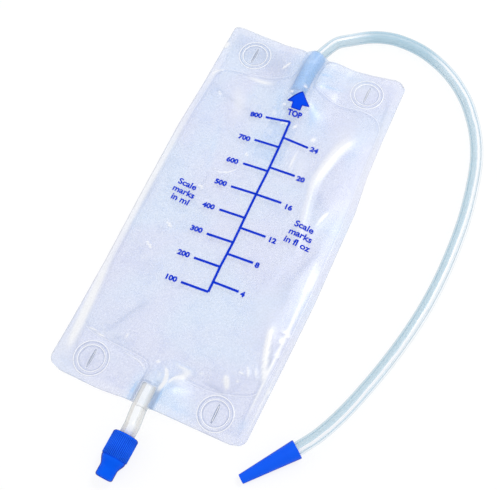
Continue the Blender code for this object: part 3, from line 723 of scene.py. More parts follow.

# Creases and soft patches of the front film: tone, strength, width, height and places on the line
# The white tone paints highlights, partly stress-whitening of the film; the dark tone paints shade in
# folds and along the tube's and port's sides; the blue tone tints the film.
creases = (
    ("white", 0.55, 3.0, 1.5, (
        (48.4, 86.9), (43.7, 76.1), (40.3, 62.5), (37.5, 47.6), (39.2, 29.8), (43.1, 6.9), (46.5, -7.7)
    )),
    ("grey", 0.0, 4.5, -0.9, ((57.3, 25.3), (53.7, -0.6), (47.3, -27.7), (44.0, -47.6))),
    ("white", 0.9, 3.4, 0, (
        (-67.5, -60), (-65.6, -80), (-64.2, -95.4), (-63.4, -106.2), (-62.6, -117.1), (-61, -132)
    )),
    ("white", 1.0, 1.8, 0, ((-66.2, -72), (-64.8, -95), (-63.8, -112), (-62.6, -126))),
    ("grey", 0.35, 0.9, 0, ((-60.6, -110), (-60.2, -117.4), (-58, -125.4), (-55.9, -129.7))),
    ("grey", 0.3, 1.8, 0, ((-26.5, -77.1), (-35, -92.3), (-43.3, -108.1))),
    ("grey", 0.3, 1.6, 0.2, ((-38.2, -110.9), (-31.6, -109.2))),
    ("white", 0.5, 1.2, 0.2, ((-30.3, -109), (-29.8, -103.9))),
    ("white", 0.8, 1.5, 0.3, ((-4.3, -112.9), (-1.9, -115.1))),
    ("white", 1, 1.2, 0.5, ((3, -115.5), (5.3, -118.1), (6.9, -122.5), (7, -126.8), (6.0, -131.5))),
    ("white", 0.35, 1.6, 0, ((0.5, -120), (2.8, -122.5), (3.6, -127))),
    ("white", 0.5, 2.4, 0.4, ((11.9, -122.5), (13.7, -118), (17.2, -113.8), (19.5, -111.1))),
    ("blue", 0.5, 2.6, 0, ((3.8, -109.6), (12.8, -110.5), (23.6, -110.7))),
    ("white", 0.5, 1.6, 0.2, ((6.1, -110), (14, -111.5), (20, -112.2))),
    ("white", 0.45, 1.8, 0.2, ((24.5, -108.3), (26.5, -110.8))),
    ("white", 0.7, 2.2, 0.3, ((39.7, -103.8), (42.2, -107.5), (44.9, -112.9))),
    ("white", 0.6, 1, 0.2, ((47.7, -103.7), (49.6, -106.3))),
    ("white", 0.6, 1, 0.3, ((50.1, -92.9), (54.3, -100.8))),
    ("white", 0.5, 1.1, 0.3, ((55.2, -91.9), (59.4, -99.7))),
    ("white", 1, 1.9, 0.9, ((53.3, -64.5), (55.2, -71.1), (57.2, -79), (60.1, -88.9), (63.7, -99))),
    ("grey", 0.4, 1.5, 0, ((59.6, -73.1), (61.6, -82.2), (63.3, -90), (64.8, -94.9))),
    ("white", 0.8, 0.8, 0.3, ((60.1, -62.3), (63.8, -63.6), (67.6, -65))),
    ("grey", 0.3, 1.8, 0, ((59.8, -67.2), (65, -71.1), (68, -74.7))),
    ("white", 0.7, 0.9, 0.2, ((61.4, -66.8), (62.3, -69.6), (65.3, -71.7))),
    ("white", 0.6, 0.9, 0.2, ((62.8, -79.4), (66.4, -79.1))),
    ("white", 0.6, 1.2, 0.2, ((69.6, -104.7), (69.1, -100.7))),
    ("blue", 0.5, 3.5, 0, ((60.5, -132.9), (66.1, -124.3))),
    ("blue", 0.6, 5, 0, ((13.2, -131.7), (20.7, -136.1), (31.1, -137.9))),
    ("blue", 0.4, 4, 0, ((-62.5, -138.5), (-47.9, -144.9), (-31.7, -147.6))),
    ("grey", 0.5, 0.9, 0, ((27.7, -113.6), (34.9, -113.9), (42.6, -115.3), (47.7, -118.8))),
    ("white", 0.7, 0.9, 0, ((9.6, -124.8), (10, -121.5), (12.8, -117.7), (18.5, -116.4))),
    ("grey", 0.5, 0.8, 0, ((2.8, -127.2), (7.3, -126.9))),
    ("grey", 0.28, 3.2, 0, ((46.3, 39.3), (45.8, 31.6), (45.1, 22.9))),
    ("white", 0.5, 1.8, 0.5, ((55.5, 27.9), (53.6, 22), (51.3, 13.6))),
    ("grey", 0.38, 2.4, 0, ((63.8, 3), (61, -4.1), (58.1, -12.6), (53.1, -24.4))),
    ("white", 0.45, 3.4, 0, ((66.5, -12.1), (65.7, -21.9), (64.8, -33.2))),
    ("grey", 0.2, 3, 0, ((52.4, -26.2), (52.2, -37.2), (54.9, -46.6))),
    ("white", 0.35, 0.9, 0, ((13.5, 54.3), (15.4, 44.7), (17.6, 34.6))),
    ("blue", 0.45, 2.2, 0, ((-44.7, 70.4), (-41.2, 53), (-37.7, 35.9), (-34.8, 23.3))),
    ("grey", 0.4, 0.9, 0.2, ((-64.8, 93.3), (-54, 86.4), (-40.5, 81.9), (-28.8, 79.1), (-21.1, 76))),
    ("white", 0.7, 0.9, 0.2, ((-55.8, 85.9), (-51.9, 82.9))),
    ("white", 0.8, 2, 0.3, ((-68.9, 122.7), (-67.7, 129))),
    ("grey", 0.25, 1.6, 0, ((-64.7, 115.7), (-63.1, 119.2))),
    ("white", 0.9, 0.7, 0.3, ((-66.6, 97.9), (-66, 101), (-63.8, 103.3), (-59.4, 106.1))),
    ("white", 0.6, 0.8, 0.2, ((-32.1, 27.5), (-26.5, 25.6), (-19.9, 27.9), (-14.8, 33.5))),
    ("grey", 0.25, 1.2, 0, ((-33.4, 22.2), (-32.6, 15.6), (-33.6, 9.9), (-28.8, 7.9), (-21.7, 5.9))),
    ("white", 1, 0.9, 0.3, ((-16, 46.3), (-12.4, 44.4))),
    ("white", 0.8, 1, 0.2, ((-35, 11.1), (-30.9, 9))),
    ("white", 1, 0.9, 0.3, ((-43.2, -22.9), (-37.7, -26.3))),
    ("grey", 0.25, 2, 0, ((-46.7, -29), (-41.2, -30.7))),
    ("white", 1, 0.9, 0.3, ((-48.9, -41.8), (-43.2, -45.4))),
    ("grey", 0.25, 2.2, 0, ((-52.6, -47.5), (-46.6, -50))),
    ("grey", 0.2, 1.8, 0, ((-43.8, -11.9), (-37.5, -12.1), (-31.3, -10.7))),
    ("grey", 0.32, 1.4, 0, ((-64.5, 5.1), (-65.4, -5.5), (-64, -14.3))),
    ("white", 1, 0.9, 0.4, ((-20.1, 120.7), (-17.9, 124), (-16.1, 127.1))),
    ("grey", 0.55, 0.8, 0, ((-4.4, 133), (-4.9, 125.2), (-5.2, 116.7), (-5.7, 105.3), (-5.8, 100.2))),
    ("grey", 0.3, 0.7, 0, ((-6.7, 131.1), (-6.9, 117.1), (-8.8, 108.7))),
    ("grey", 0.45, 0.8, 0, ((7.9, 133), (7, 125), (7.4, 116.6), (8.3, 109.8))),
    ("grey", 0.6, 0.8, 0.3, ((7.5, 134), (10.7, 136.9), (16.3, 138.7))),
    ("blue", 0.8, 1.3, 0, ((8.2, 125), (12.6, 126.7), (18.4, 128))),
    ("blue", 0.8, 1.6, 0, ((8.5, 116.9), (17.5, 118.7), (29.3, 122.7))),
    ("blue", 0.7, 6, 0, ((-15, 108), (-11, 97), (-9, 86), (-8, 74))),
    ("blue", 0.7, 6, 0, ((14, 106), (15, 96), (17, 84), (19, 72))),
    ("blue", 0.3, 9, 0, ((-62, 104), (-61, 90), (-58, 70), (-55, 50))),
    ("grey", 0.3, 1, 0, ((25.6, 109.1), (39, 108.5), (49.6, 106.8))),
    ("grey", 0.3, 0.9, 0, ((57.8, 133.9), (61.4, 120.8), (63.7, 101.2), (65.8, 74), (66, 51.1))),
    ("white", 0.5, 1.2, 0.2, ((17.1, 63.6), (17.3, 52.5), (18.9, 43.6))),
    ("white", 0.65, 2, 0.3, ((23.2, 72.3), (25.2, 76.7))),
    ("white", 0.75, 1.1, 0.3, ((6.7, 77.7), (9.1, 81))),
    ("white", 0.85, 0.9, 0.2, ((-3, 77.7), (-0.3, 80.3), (2.5, 79.2))),
    ("white", 0.45, 1.8, 0.1, ((-10.8, 86.6), (-9.8, 81.6))),
    ("white", 0.35, 3, 0.1, ((-8.1, 71.6), (-6.4, 66))),
    ("white", 0.8, 1, 0.2, ((-6.8, 90.7), (-4.1, 91.9))),
    ("white", 0.8, 0.8, 0.2, ((2.1, 108.7), (4.7, 108.2))),
    ("white", 0.7, 0.8, 0.2, ((-5, 100.2), (-2.3, 100.1))),
    ("white", 0.55, 4.5, 0, ((48.8, 85.8), (43.7, 76.1), (41.3, 65.4), (39.8, 52.9), (39.6, 39.2))),
    ("blue", 0.5, 4.5, 0, ((53.9, 92.1), (53.8, 77.3), (53.5, 61.4))),
    ("blue", 0.3, 9, 0, ((-60.8, 90.2), (-56.2, 72.6), (-51.6, 51.4), (-49.7, 29.9))),
    ("blue", 0.6, 6, 0, ((-14.4, 71.6), (-12.8, 54.4), (-12.3, 41.5))),
    ("blue", 0.6, 6.5, 0, ((-4.8, 90.8), (-0.9, 72.9), (0.9, 51.5), (2.3, 34.9))),
    ("blue", 0.5, 6, 0, ((10.1, 101.1), (20.9, 90.4), (29.7, 76.9))),
    ("white", 0.65, 3.6, 0, (
        (-69.3, 80.6), (-68.8, 54.9), (-68.5, 23.7), (-68.8, -6.8), (-68, -38.3), (-67.5, -68.1),
        (-64.8, -91.3)
    )),
    ("white", 0.45, 3, 0, ((-65.7, 112.4), (-66.9, 97.7), (-67.5, 78.6))),
    ("grey", 0.35, 0.8, 0, (
        (60.7, -13.6), (62.1, -36.9), (62.8, -61.2), (62.4, -91.9), (61.9, -115.1), (61.6, -133.8)
    )),
    ("white", 0.6, 1.2, 0, (
        (62.2, -10.5), (63.6, -33.8), (64.3, -58.2), (64.1, -89.5), (63.9, -113.5), (63.9, -131.4)
    )),
    ("white", 0.5, 2.5, 0, ((-43.2, 106.4), (-29.9, 105.8), (-18.6, 105.7))),
    ("white", 0.6, 0.8, 0.1, ((-59.1, -110.1), (-48.7, -112), (-40.3, -113.8))),
    ("white", 0.5, 0.8, 0, ((-29.3, -116.7), (-16.6, -118.1), (-10.6, -120.6), (-6.3, -124.5))),
    ("grey", 1.0, 0.6, 0, ((-6.2, -129.5), (-2, -129.6), (2, -129.6), (6.2, -129.5))),
    ("grey", 1.0, 0.6, 0, ((-5.6, -127), (-5.7, -137), (-5.9, -156))),
    ("grey", 0.6, 0.6, 0, ((5.7, -127), (5.9, -137), (6.1, -156))),
    ("blue", 1.0, 2.0, 0, ((7.4, -124), (7.6, -137), (8.0, -160))),
    ("grey", 0.7, 0.9, 0, ((6.8, -126), (7.1, -137), (7.3, -156))),
    ("blue", 0.9, 3.2, 0, ((-9.0, -125), (-8.8, -139), (-9.0, -156))),
    ("white", 0.3, 2.6, 0, ((14, -122), (17, -121), (21, -121))),
    ("white", 0.6, 1.0, 0.2, ((46.5, -98.5), (50.5, -99.5))),
    ("white", 0.4, 6.0, 0, ((66, 120), (67, 90), (68, 50), (69, 10))),
    ("white", 0.45, 7.0, 0, ((-46, 96), (-38, 84), (-33, 64))),
    ("white", 0.35, 6.0, 0, ((20, 62), (25, 50), (30, 36))),
    ("white", 0.3, 8.0, 0, ((-67, -112), (-64, -134), (-48, -140))),
    ("white", 0.3, 9.0, 0, ((22, 128), (35, 128), (52, 128))),
    ("white", 0.3, 11, 0, ((46, 100), (43, 88), (40, 70))),
    ("white", 0.25, 12, 0, ((40, -30), (48, -60), (50, -85))),
    ("grey", 0.32, 10, 0, ((-70, 133), (-40, 127), (-22, 121), (-12, 118))),
    ("white", 0.8, 0.8, 0, ((70.9, 0), (71.1, -38), (69.9, -81), (68.7, -113), (68.0, -138))),
)


def channelCentre(y):
    bendReach = port["bendRadius"] * math.sin(port["bend"])
    intoBend = np.clip(y - port["bendY"], 0, bendReach)
    bent = port["bendRadius"] - np.sqrt(port["bendRadius"] ** 2 - intoBend**2)
    bent = bent + np.maximum(y - port["bendY"] - bendReach, 0) * math.tan(port["bend"])
    return (port["x"] + bent) * smoothStep(y / (port["innerY"] - film["inletFade"]))


def arch(offset, radius):
    return np.sqrt(np.maximum(radius**2 - offset**2, 0))


# Middle height of the two films beside a tube, easing down to the flat film
def middleHeight(offset, outer, flat):
    away = np.clip((offset - outer) / (film["liftReach"] - outer), 0, 1)
    return flat + (outer - flat) * (1 + np.cos(math.pi * away)) / 2


# Height of the film over a tube: round on top, then a slope that eases into the flat film
def overTube(offset, radius, ease=1.6):
    flank = math.sqrt(2) * radius - offset
    eased = np.where(flank < -ease, 0, (flank + ease) ** 2 / (4 * ease))
    eased = np.where(flank > ease, flank, eased)
    return np.where(offset < radius / math.sqrt(2), arch(offset, radius), eased)


# How far the films have opened round the inlet port and round the outlet tube, from 0 to 1
def inletShare(y):
    start = port["innerY"] - film["gap"] - film["inletFade"]
    return smoothStep((y - start) / film["inletFade"])


def outletShare(y):
    start = film["outletInnerY"] + film["gap"] + film["outletFade"]
    return smoothStep((start - y) / film["outletFade"])


# Undersides of the back film and of the front film
def filmLevels(x, y, pouchGap):
    offset = np.abs(x - channelCentre(y))
    share = np.maximum(inletShare(y), outletShare(y))
    radius = np.where(y > 0, film["inletChannel"], film["outletChannel"])
    outer = radius + film["thickness"]
    flat = film["thickness"] + film["gap"] / 2
    hugging = overTube(offset, outer)
    back = share * (middleHeight(offset, outer, flat) - np.maximum(hugging, flat))
    opening = share * (overTube(offset, radius) + hugging - film["thickness"])
    opening = np.maximum(film["gap"], opening)
    slope = np.clip(pouchGap / film["pouchSlope"], 0, 1)
    pouch = film["pouchRise"] * np.sin(math.pi / 2 * slope)
    rise = (1 - share * np.minimum(hugging / outer, 1)) * pouch
    return back, back + film["thickness"] + opening + rise


# Columns or rows, finer near the given places: (middle, reach, step) in mm
def gridPlaces(low, high, coarse, fine):
    places = [low]
    while places[-1] < high - 0.3:
        here = places[-1]
        step = min([coarse] + [size for middle, reach, size in fine if abs(here - middle) < reach])
        starts = [middle - reach for middle, reach, size in fine]
        ahead = [start for start in starts if here < start < here + step]
        places.append(min(ahead + [here + step, high]))
    places[-1] = high
    return np.array(places)


def edgeReach(points, places):
    points = np.array(sorted(points))
    return np.interp(places, points[:, 0], points[:, 1])


def filmGrid(columns, rows):
    x, y = np.meshgrid(columns, rows)
    top = edgeReach(film["topEdge"], x)
    bottom = edgeReach(film["bottomEdge"], x)
    end = film["top"] - film["edgeZone"]
    moved = np.where(y > end, end + (y - end) / film["edgeZone"] * (top - end), y)
    moved = np.where(y < -end, -end + (y + end) / film["edgeZone"] * (-end - bottom), moved)
    for side, edge in ((-1, "leftEdge"), (1, "rightEdge")):
        reach = np.abs(edgeReach(film[edge], y))
        for corner in ("top", "bottom"):
            radius = film[corner + "Corner"]
            inset = np.clip(radius - np.abs(film[corner] - y), 0, radius)
            reach = reach - radius + np.sqrt(radius**2 - inset**2)
        start = film["sideStart"]
        share = (np.abs(x) - start) / (film["halfWidth"] - start)
        x = np.where(x * side > start, side * (start + share * (reach - start)), x)
    return x, moved


def smoothNoise(x, y, size, seed):
    random = np.random.default_rng(seed)
    total = np.zeros(x.shape)
    for turn in range(7):
        angle, phase = random.uniform(0, 2 * math.pi, 2)
        pace = size * random.uniform(0.7, 1.5)
        total += np.sin((x * math.cos(angle) + y * math.sin(angle)) / pace * 2 * math.pi + phase)
    return total / 7


# Distances to the nearest strap ring's middle and to the nearest slit
def ringGaps(x, y):
    ringGap = np.full(x.shape, 99.0)
    slitGap = np.full(x.shape, 99.0)
    slitLength, _ = film["slit"]
    for ringX, ringY in ringPlaces:
        ringGap = np.minimum(ringGap, np.hypot(x - ringX, y - ringY))
        beyond = np.maximum(np.abs(y - ringY) - slitLength / 2, 0)
        fromSlit = np.hypot(x - ringX, beyond) + ((y - ringY) / slitLength) ** 2 * 1.6
        slitGap = np.minimum(slitGap, fromSlit)
    return ringGap, slitGap


# Cells of the grid that the slits cut out
def slitCells(columns, rows):
    slitLength, slitWidth = film["slit"]
    cells = set()
    for row, height in enumerate((rows[:-1] + rows[1:]) / 2):
        for column, middle in enumerate((columns[:-1] + columns[1:]) / 2):
            for ringX, ringY in ringPlaces:
                if abs(middle - ringX) < slitWidth / 2 and abs(height - ringY) < slitLength / 2:
                    cells.add(row * len(columns) + column)
    return cells


# Relief of the creases, and how each one paints a highlight (partly stress-whitening), paints shade or
# tints the film
def addCreases(x, y, z, tones):
    for tone, strength, width, height, line in creases:
        away, where = nearestOnLine(x, y, smoothLine(line, 4))
        taper = np.sin(math.pi * np.clip(where * 0.94 + 0.03, 0, 1)) ** 0.6
        z = z + height * np.exp(-((away / (1.2 * width)) ** 2)) * taper
        gain = (2.0 if width < 3 else 1.5) if tone == "white" else 1.0
        shape = np.minimum(strength * gain * np.exp(-((away / width) ** 2)) * taper, 1)
        tones[tone] = tones[tone] + shape - tones[tone] * shape
    return z


def shine(across, y, look):
    risen = smoothStep((y - look["start"]) / look["fade"])
    return look["strength"] * risen * np.exp(-((across / look["width"]) ** 2))


# One film as a grid, with what its material needs kept at each corner of the grid
def makeFilmMesh(name, layer, columns, rows):
    x, y = filmGrid(columns, rows)
    loop = smoothLine([*pouchLine, pouchLine[0]], 3)
    gap, _ = nearestOnLine(x, y, loop)
    pouchGap = np.where(insideLoop(x, y, loop[:-1]), gap, -gap)
    levels = filmLevels(x, y, pouchGap)
    corners = np.stack([x, y], 2)
    outline = [corners[0], corners[:, -1], corners[-1, ::-1], corners[::-1, 0]]
    edgeGap, _ = nearestOnLine(x, y, np.concatenate(outline))
    ringGap, slitGap = ringGaps(x, y)
    fromTube, header = x - channelCentre(y), film["header"]
    nearTube = np.exp(-((fromTube / header["tubeRoom"]) ** 2))
    outside = np.clip(-pouchGap / header["fade"], 0, 1)
    outside = outside * (1 - nearTube * np.maximum(inletShare(y), outletShare(y)))
    unevenness = header["ripple"] * smoothNoise(x, y, header["size"], header["seed"])
    ripple = outside * (header["height"] + unevenness) * np.clip(np.abs(y) / header["full"], 0, 1)
    z = levels[layer] + ripple
    blue = shine(fromTube, y, film["portShine"])
    blue = np.maximum(blue, shine(x - film["outletShine"]["x"], y, film["outletShine"]))
    tones = dict(white=np.zeros(x.shape), grey=np.zeros(x.shape), blue=blue)
    overOutlet = smoothStep((outlet["radius"] + 0.4 - np.abs(x)) / 0.8)
    clearing = overOutlet * smoothStep((film["outletInnerY"] + 0.4 - y) / 0.8) * layer
    if layer:
        (high, size, seed), (fine, fineSize, fineSeed) = film["pouchWaves"]
        waves = high * smoothNoise(x, y, size, seed) + fine * smoothNoise(x, y, fineSize, fineSeed)
        z = z + np.clip(pouchGap / film["waveFade"], 0, 1) * waves
        z = addCreases(x, y, z, tones)
        z = z + film["weldRidge"] * np.exp(-((pouchGap / film["weldWidth"]) ** 2))
        fromRing = (ringGap - film["ringMiddle"]) / film["ringWidth"]
        z = z + film["ringHeight"] * np.exp(-(fromRing**4))
        z = np.maximum(z, levels[0] + ripple + 2 * film["thickness"])
    mesh = sheetMesh(name, x, y, z, slitCells(columns, rows))
    keepFields(mesh, pouchGap=pouchGap, edgeGap=edgeGap, ringGap=ringGap, slitGap=slitGap)
    # The creases' painted highlights (partly stress-whitening), painted shade and blue tint
    keepFields(mesh, whitening=tones["white"], greyShade=tones["grey"], blueTint=tones["blue"])
    keepFields(mesh, clearing=clearing)
    return mesh


# Lines on the film: the distance they follow, its middle, half width, softness and strength. Pale
# lines: the weld, partly a painted highlight on its ridge, and painted highlights on the rings' beads
# and the slit lips.
weldAndHighlightLines = (
    ("pouchGap", 0.0, 0.2, 0.5, 0.6),  # weld round the pouch
    ("ringGap", 11.7, 0.12, 0.45, 1.0),
    ("ringGap", 9.0, 0.12, 0.45, 1.0),
    ("slitGap", 1.3, 0.15, 0.4, 0.6),
)
# Dark lines: painted shade beside the weld, inside the rings' beads and in the slits, and the film's
# edge line
shadeAndEdgeLines = (
    ("pouchGap", 1.2, 0.15, 0.6, 0.14),
    ("ringGap", 10.9, 0.10, 0.45, 0.4),
    ("ringGap", 8.2, 0.10, 0.45, 0.4),
    ("slitGap", 0.3, 0.3, 0.5, 0.95),
    ("edgeGap", 0.0, 0.1, 0.5, 0.15),
)
filmLook = dict(
    body=(0.64, 0.69, 0.91),
    weld=(0.88, 0.89, 0.98),
    tint=(0.42, 0.69, 1.0),
    shadeLine=(0.36, 0.43, 0.60),
    weldAndHighlightColor=(0.98, 0.985, 1.0),
    frontCover=0.215,
    backCover=0.195,
    whiteCover=0.62,  # what the weld line and painted highlights, and the painted shade lines, add to it
    darkCover=0.46,
    tintCover=0.4,
    tintShare=0.8,
    weldShare=0.35,
    paintedSheen=0.20,
    clearing=0.85,  # how much of the film clears over the outlet tube
)


def makeFilmGroup():
    group, given, result = newGroup(
        "weldedFilm",
        dict.fromkeys(("Film", "Cloud", "Weld", "Tint"), "Color"),
        {"Color": "Color", "Cover": "Float", "Seen": "Float", "Height": "Float"},
    )
    titles = ("pouchGap", "edgeGap", "ringGap", "slitGap")
    titles += ("whitening", "greyShade", "blueTint", "clearing")
    field = {title: storedValue(group, title) for title in titles}

    def masks(rows):
        found = []
        for title, *row, strength in rows:
            found.append(times(group, lineMask(group, field[title], *row), strength))
        return found

    cloud = noise(group, 17.0, 2.0, 0.5)
    grain = noise(group, 950.0)
    sheenNoise = noise(group, 75.0, 1.5, 0.6)
    outside = ramp(group, field["pouchGap"], -0.6, 0.4, 1.0, 0.0)
    sideBand = ramp(group, field["edgeGap"], 4.0, 6.5, 1.0, 0.0)
    pale = times(group, times(group, outside, sideBand), filmLook["weldShare"])
    color = blendColors(group, ramp(group, cloud, 0.36, 0.66), given["Film"], given["Cloud"])
    tinted = times(group, field["blueTint"], filmLook["tintShare"])
    color = blendColors(group, tinted, color, given["Tint"])
    color = blendColors(group, pale, color, given["Weld"])
    weldLine, *others = masks(weldAndHighlightLines)
    weldLine = times(group, weldLine, without(group, field["blueTint"]))
    # Painted sheen: soft white patches where the noise is high
    soft = ramp(group, sheenNoise, 0.50, 0.75, 0.0, filmLook["paintedSheen"])
    # Pale marks: the weld line, painted highlights and painted sheen
    white = largest(group, weldLine, *others, field["whitening"], soft)
    # Dark marks: painted shade lines, the film's edge line and the creases' painted shade
    dark = largest(group, *masks(shadeAndEdgeLines), field["greyShade"])
    color = blendColors(group, dark, color, filmLook["shadeLine"])
    color = blendColors(group, white, color, filmLook["weldAndHighlightColor"])
    whiteCover = times(group, white, filmLook["whiteCover"])
    cover = sums(group, "ADD", whiteCover, times(group, dark, filmLook["darkCover"]))
    tintCover = ramp(group, field["blueTint"], 0.6, 1.0, 0.0, filmLook["tintCover"])
    cover = sums(group, "ADD", cover, tintCover)
    cover = sums(group, "ADD", cover, drift(group, grain, -0.05, 0.05))
    seen = without(group, field["clearing"], filmLook["clearing"])
    height = sums(group, "ADD", times(group, sheenNoise, 0.5), cloud)
    feed(group, result, {"Color": color, "Cover": cover, "Seen": seen, "Height": height})
    return group


filmGroup = makeFilmGroup()


def makeFilmFinish(name, cover):
    material, tree, node = newMaterial(name, ior=1.5, specular=0.8, roughness=0.3)
    red, green, blue = filmLook["body"]
    inputs = {
        "Film": (red, green, blue, 1),
        "Cloud": (red * 0.95, green * 1.06, min(1, blue * 1.03), 1),
        "Weld": (*filmLook["weld"], 1),
        "Tint": (*filmLook["tint"], 1),
    }
    welded = addNode(tree, "ShaderNodeGroup", inputs, node_tree=filmGroup).outputs
    cover = times(tree, sums(tree, "ADD", welded["Cover"], cover), welded["Seen"])
    feed(tree, node, {"Base Color": welded["Color"], "Alpha": cover})
    addBump(tree, node, welded["Height"], strength=0.08, depth=0.0008)
    letLampsThrough(tree, node)
    return material


def thicken(obj, thickness):
    thick = obj.modifiers.new("thickness", "SOLIDIFY")
    thick.thickness = thickness * mm
    thick.offset = 1
    return applyModifiers(obj)


# Columns and rows of one film: coarse and fine steps, near the rings, the slits and the tube
def filmSteps(coarse, ringStep, tubeStep, slitStep=None):
    reach, ringX = film["nearRing"], film["ringX"]
    slitX = [side * ringX + edge * film["slit"][1] / 2 for side in (-1, 1) for edge in (-1, 1)]
    fine = [(side * ringX, reach, ringStep) for side in (-1, 1)]
    if slitStep:
        fine += [(side * ringX, film["nearSlit"], slitStep) for side in (-1, 1)]
    fine.append((0, film["nearTube"], tubeStep))
    columns = gridPlaces(-film["halfWidth"], film["halfWidth"], coarse, fine)
    columns = np.unique(np.concatenate([columns, slitX]).round(3))
    rows = [(ringY, reach, ringStep) for ringY in film["ringY"]]
    return columns, gridPlaces(film["bottom"], film["top"], coarse, rows)


def makeFilms():
    front = addObject("frontFilm", makeFilmMesh("frontFilm", 1, *filmSteps(1.5, 0.8, 0.55, 0.4)))
    front.data.materials.append(makeFilmFinish("clearFilm", filmLook["frontCover"]))
    thicken(front, film["thickness"])
    back = addObject("backFilm", makeFilmMesh("backFilm", 0, *filmSteps(2.6, 1.6, 0.9)))
    back.data.materials.append(makeFilmFinish("clearFilmBack", filmLook["backCover"]))
    thicken(back, film["thickness"])
    for obj, node in ((front, "front_film"), (back, "back_film")):
        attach(obj, "bag")
        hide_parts(node)
    return front, back


frontFilm, backFilm = makeFilms()
print("films made,", len(frontFilm.data.polygons), "and", len(backFilm.data.polygons), "faces")

# Port, anti-reflux sleeve and outlet tube, between the films

sleeve = dict(
    thickness=0.25,
    overlap=11.0,
    reach=56.0,
    width=21.0,
    spread=0.10,
    outside=6.45,  # radius of the leaves round the port, and of the room in them
    inside=6.2,
    halfWidth=6.05,
)
valve = dict(
    start=(1.6, -164.3, 8.4),
    along=(-0.034899, -0.999391, 0.0),
    tubeIn=4.4,
    spigotEnd=-6.0,
)


def makePort():
    material, tree, node = newMaterial("bluePort", ior=1.45, specular=0.2)
    surface = mouldedSurface(tree, grain=1400.0, flow=90.0)
    edge = turnedAway(tree, 0.4)
    body = blendColors(tree, ramp(tree, edge, 0.45, 0.95), (0.47, 0.74, 1.0), (0.28, 0.46, 0.72))
    cover = ramp(tree, edge, 0.1, 0.9, 0.55, 0.9)
    rough = drift(tree, surface["Tone"], 0.22, 0.34)
    feed(tree, node, {"Base Color": body, "Alpha": cover, "Roughness": rough})
    letLampsThrough(tree, node)
    piece = addHose("inletPort", portPath(), port["radius"], port["wall"], material)
    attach(piece, "bag")
    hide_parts("inlet_port")


def leafHeights(x, y):
    offset = np.abs(x - channelCentre(y))
    share = inletShare(y)
    outer = film["inletChannel"] + film["thickness"]
    flat = film["thickness"] + film["gap"] / 2
    around = arch(offset, outer)
    back = share * (middleHeight(offset, outer, flat) - np.maximum(around, flat))
    outside = arch(offset, sleeve["outside"])
    room = share * (around - film["thickness"] - outside)
    low = back + film["thickness"] + np.maximum(film["gap"], room)
    between = share * (arch(offset, sleeve["inside"]) + outside - sleeve["thickness"])
    return low, low + sleeve["thickness"] + np.maximum(film["gap"], between)


def makeSleeve():
    material, tree, node = newMaterial("blueFilm", ior=1.5, roughness=0.25)
    tone = mouldedSurface(tree, grain=900.0, flow=55.0)["Tone"]
    body = blendColors(tree, tone, (0.52, 0.70, 0.95), (0.70, 0.80, 0.96))
    feed(tree, node, {"Base Color": body, "Alpha": drift(tree, tone, 0.10, 0.05)})
    letLampsThrough(tree, node)
    free, end = port["innerY"] - sleeve["reach"], port["innerY"] + sleeve["overlap"]
    rows = np.arange(free, end + 0.5, 1.5)
    spread = smoothStep((sleeve["spread"] - inletShare(rows)) / sleeve["spread"])
    half = sleeve["halfWidth"] + (sleeve["width"] / 2 - sleeve["halfWidth"]) * spread
    turns = np.sin(np.linspace(-math.pi / 2, math.pi / 2, 33))
    y = np.repeat(rows[:, None], len(turns), 1)
    x = port["x"] + half[:, None] * turns[None, :]
    levels = leafHeights(x, y)
    names = ("sleeveBack", "reflux_leaf_back"), ("sleeveFront", "reflux_leaf_front")
    for z, (name, nodeName) in zip(levels, names):
        piece = addObject(name, sheetMesh(name, x, y, z), material)
        thicken(piece, sleeve["thickness"])
        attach(piece, "bag")
        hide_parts(nodeName)


def outletPath():
    along = np.array(valve["along"])
    start = np.array(valve["start"])
    first = np.array((0, film["bottom"] - outlet["straight"], outlet["height"]))
    last = start + along * (valve["spigotEnd"] - film["gap"])
    pull = np.linalg.norm(last - first) / 14
    handles = (first, first - (0, pull, 0), last - along * pull, last)
    inside = np.linspace(film["outletInnerY"], first[1] + 1, 8)
    path = [np.array((0, y, outlet["height"])) for y in inside]
    for t in np.linspace(0, 1, 15):
        weights = ((1 - t) ** 3, 3 * t * (1 - t) ** 2, 3 * t * t * (1 - t), t**3)
        path.append(sum(handle * weight for handle, weight in zip(handles, weights)))
    return np.array([*path, start + along * valve["tubeIn"]])


# Milky outlet tube: the same painted shade and painted highlight band
milkyTube = dict(
    shade=(0.78, 0.76, 0.72),
    pale=(0.86, 0.90, 0.90),
    outline=(0.42, 0.52, 0.56),
    covers=dict(pale=0.80, shade=0.72, outline=0.85, band=0.97),
    band=dict(place=0.30, width=0.30, dull=3.0, start=3.0),
)


def makeOutletTube():
    outer = makeTubeFinish("creamTube", milkyTube)
    bore = makeBoreFinish("creamTubeBore", (0.78, 0.78, 0.76), 0.4)
    piece = addHose("outletTube", outletPath(), outlet["radius"], outlet["wall"], outer, 48, bore)
    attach(piece, "bag")
    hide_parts("outlet_tube")


makePort()
makeSleeve()
makeOutletTube()
print("port, sleeve and outlet tube made")

# Twist valve: cap with a ribbed grip, stem and seals

cap = dict(
    gripRadius=8.4,
    gripLength=16.2,
    draft=0.4,
    rimEdge=1.4,
    shoulder=6.2,
    nozzleRadius=5.8,
    nozzleEdge=1.5,
    length=29.0,
    mouthRadius=3.9,
    well=5.5,
    camStart=5.8,
    camEnd=12.6,
    camBore=5.5,
    sealBore=4.2,
    seat=21.5,
    orifice=2.2,
    seatEnd=23.2,
    mouth=24.0,
    ribs=44,
    ribRadius=0.34,
    ribProud=0.10,
    ribEnds=1.8,  # how much shorter than the grip
)


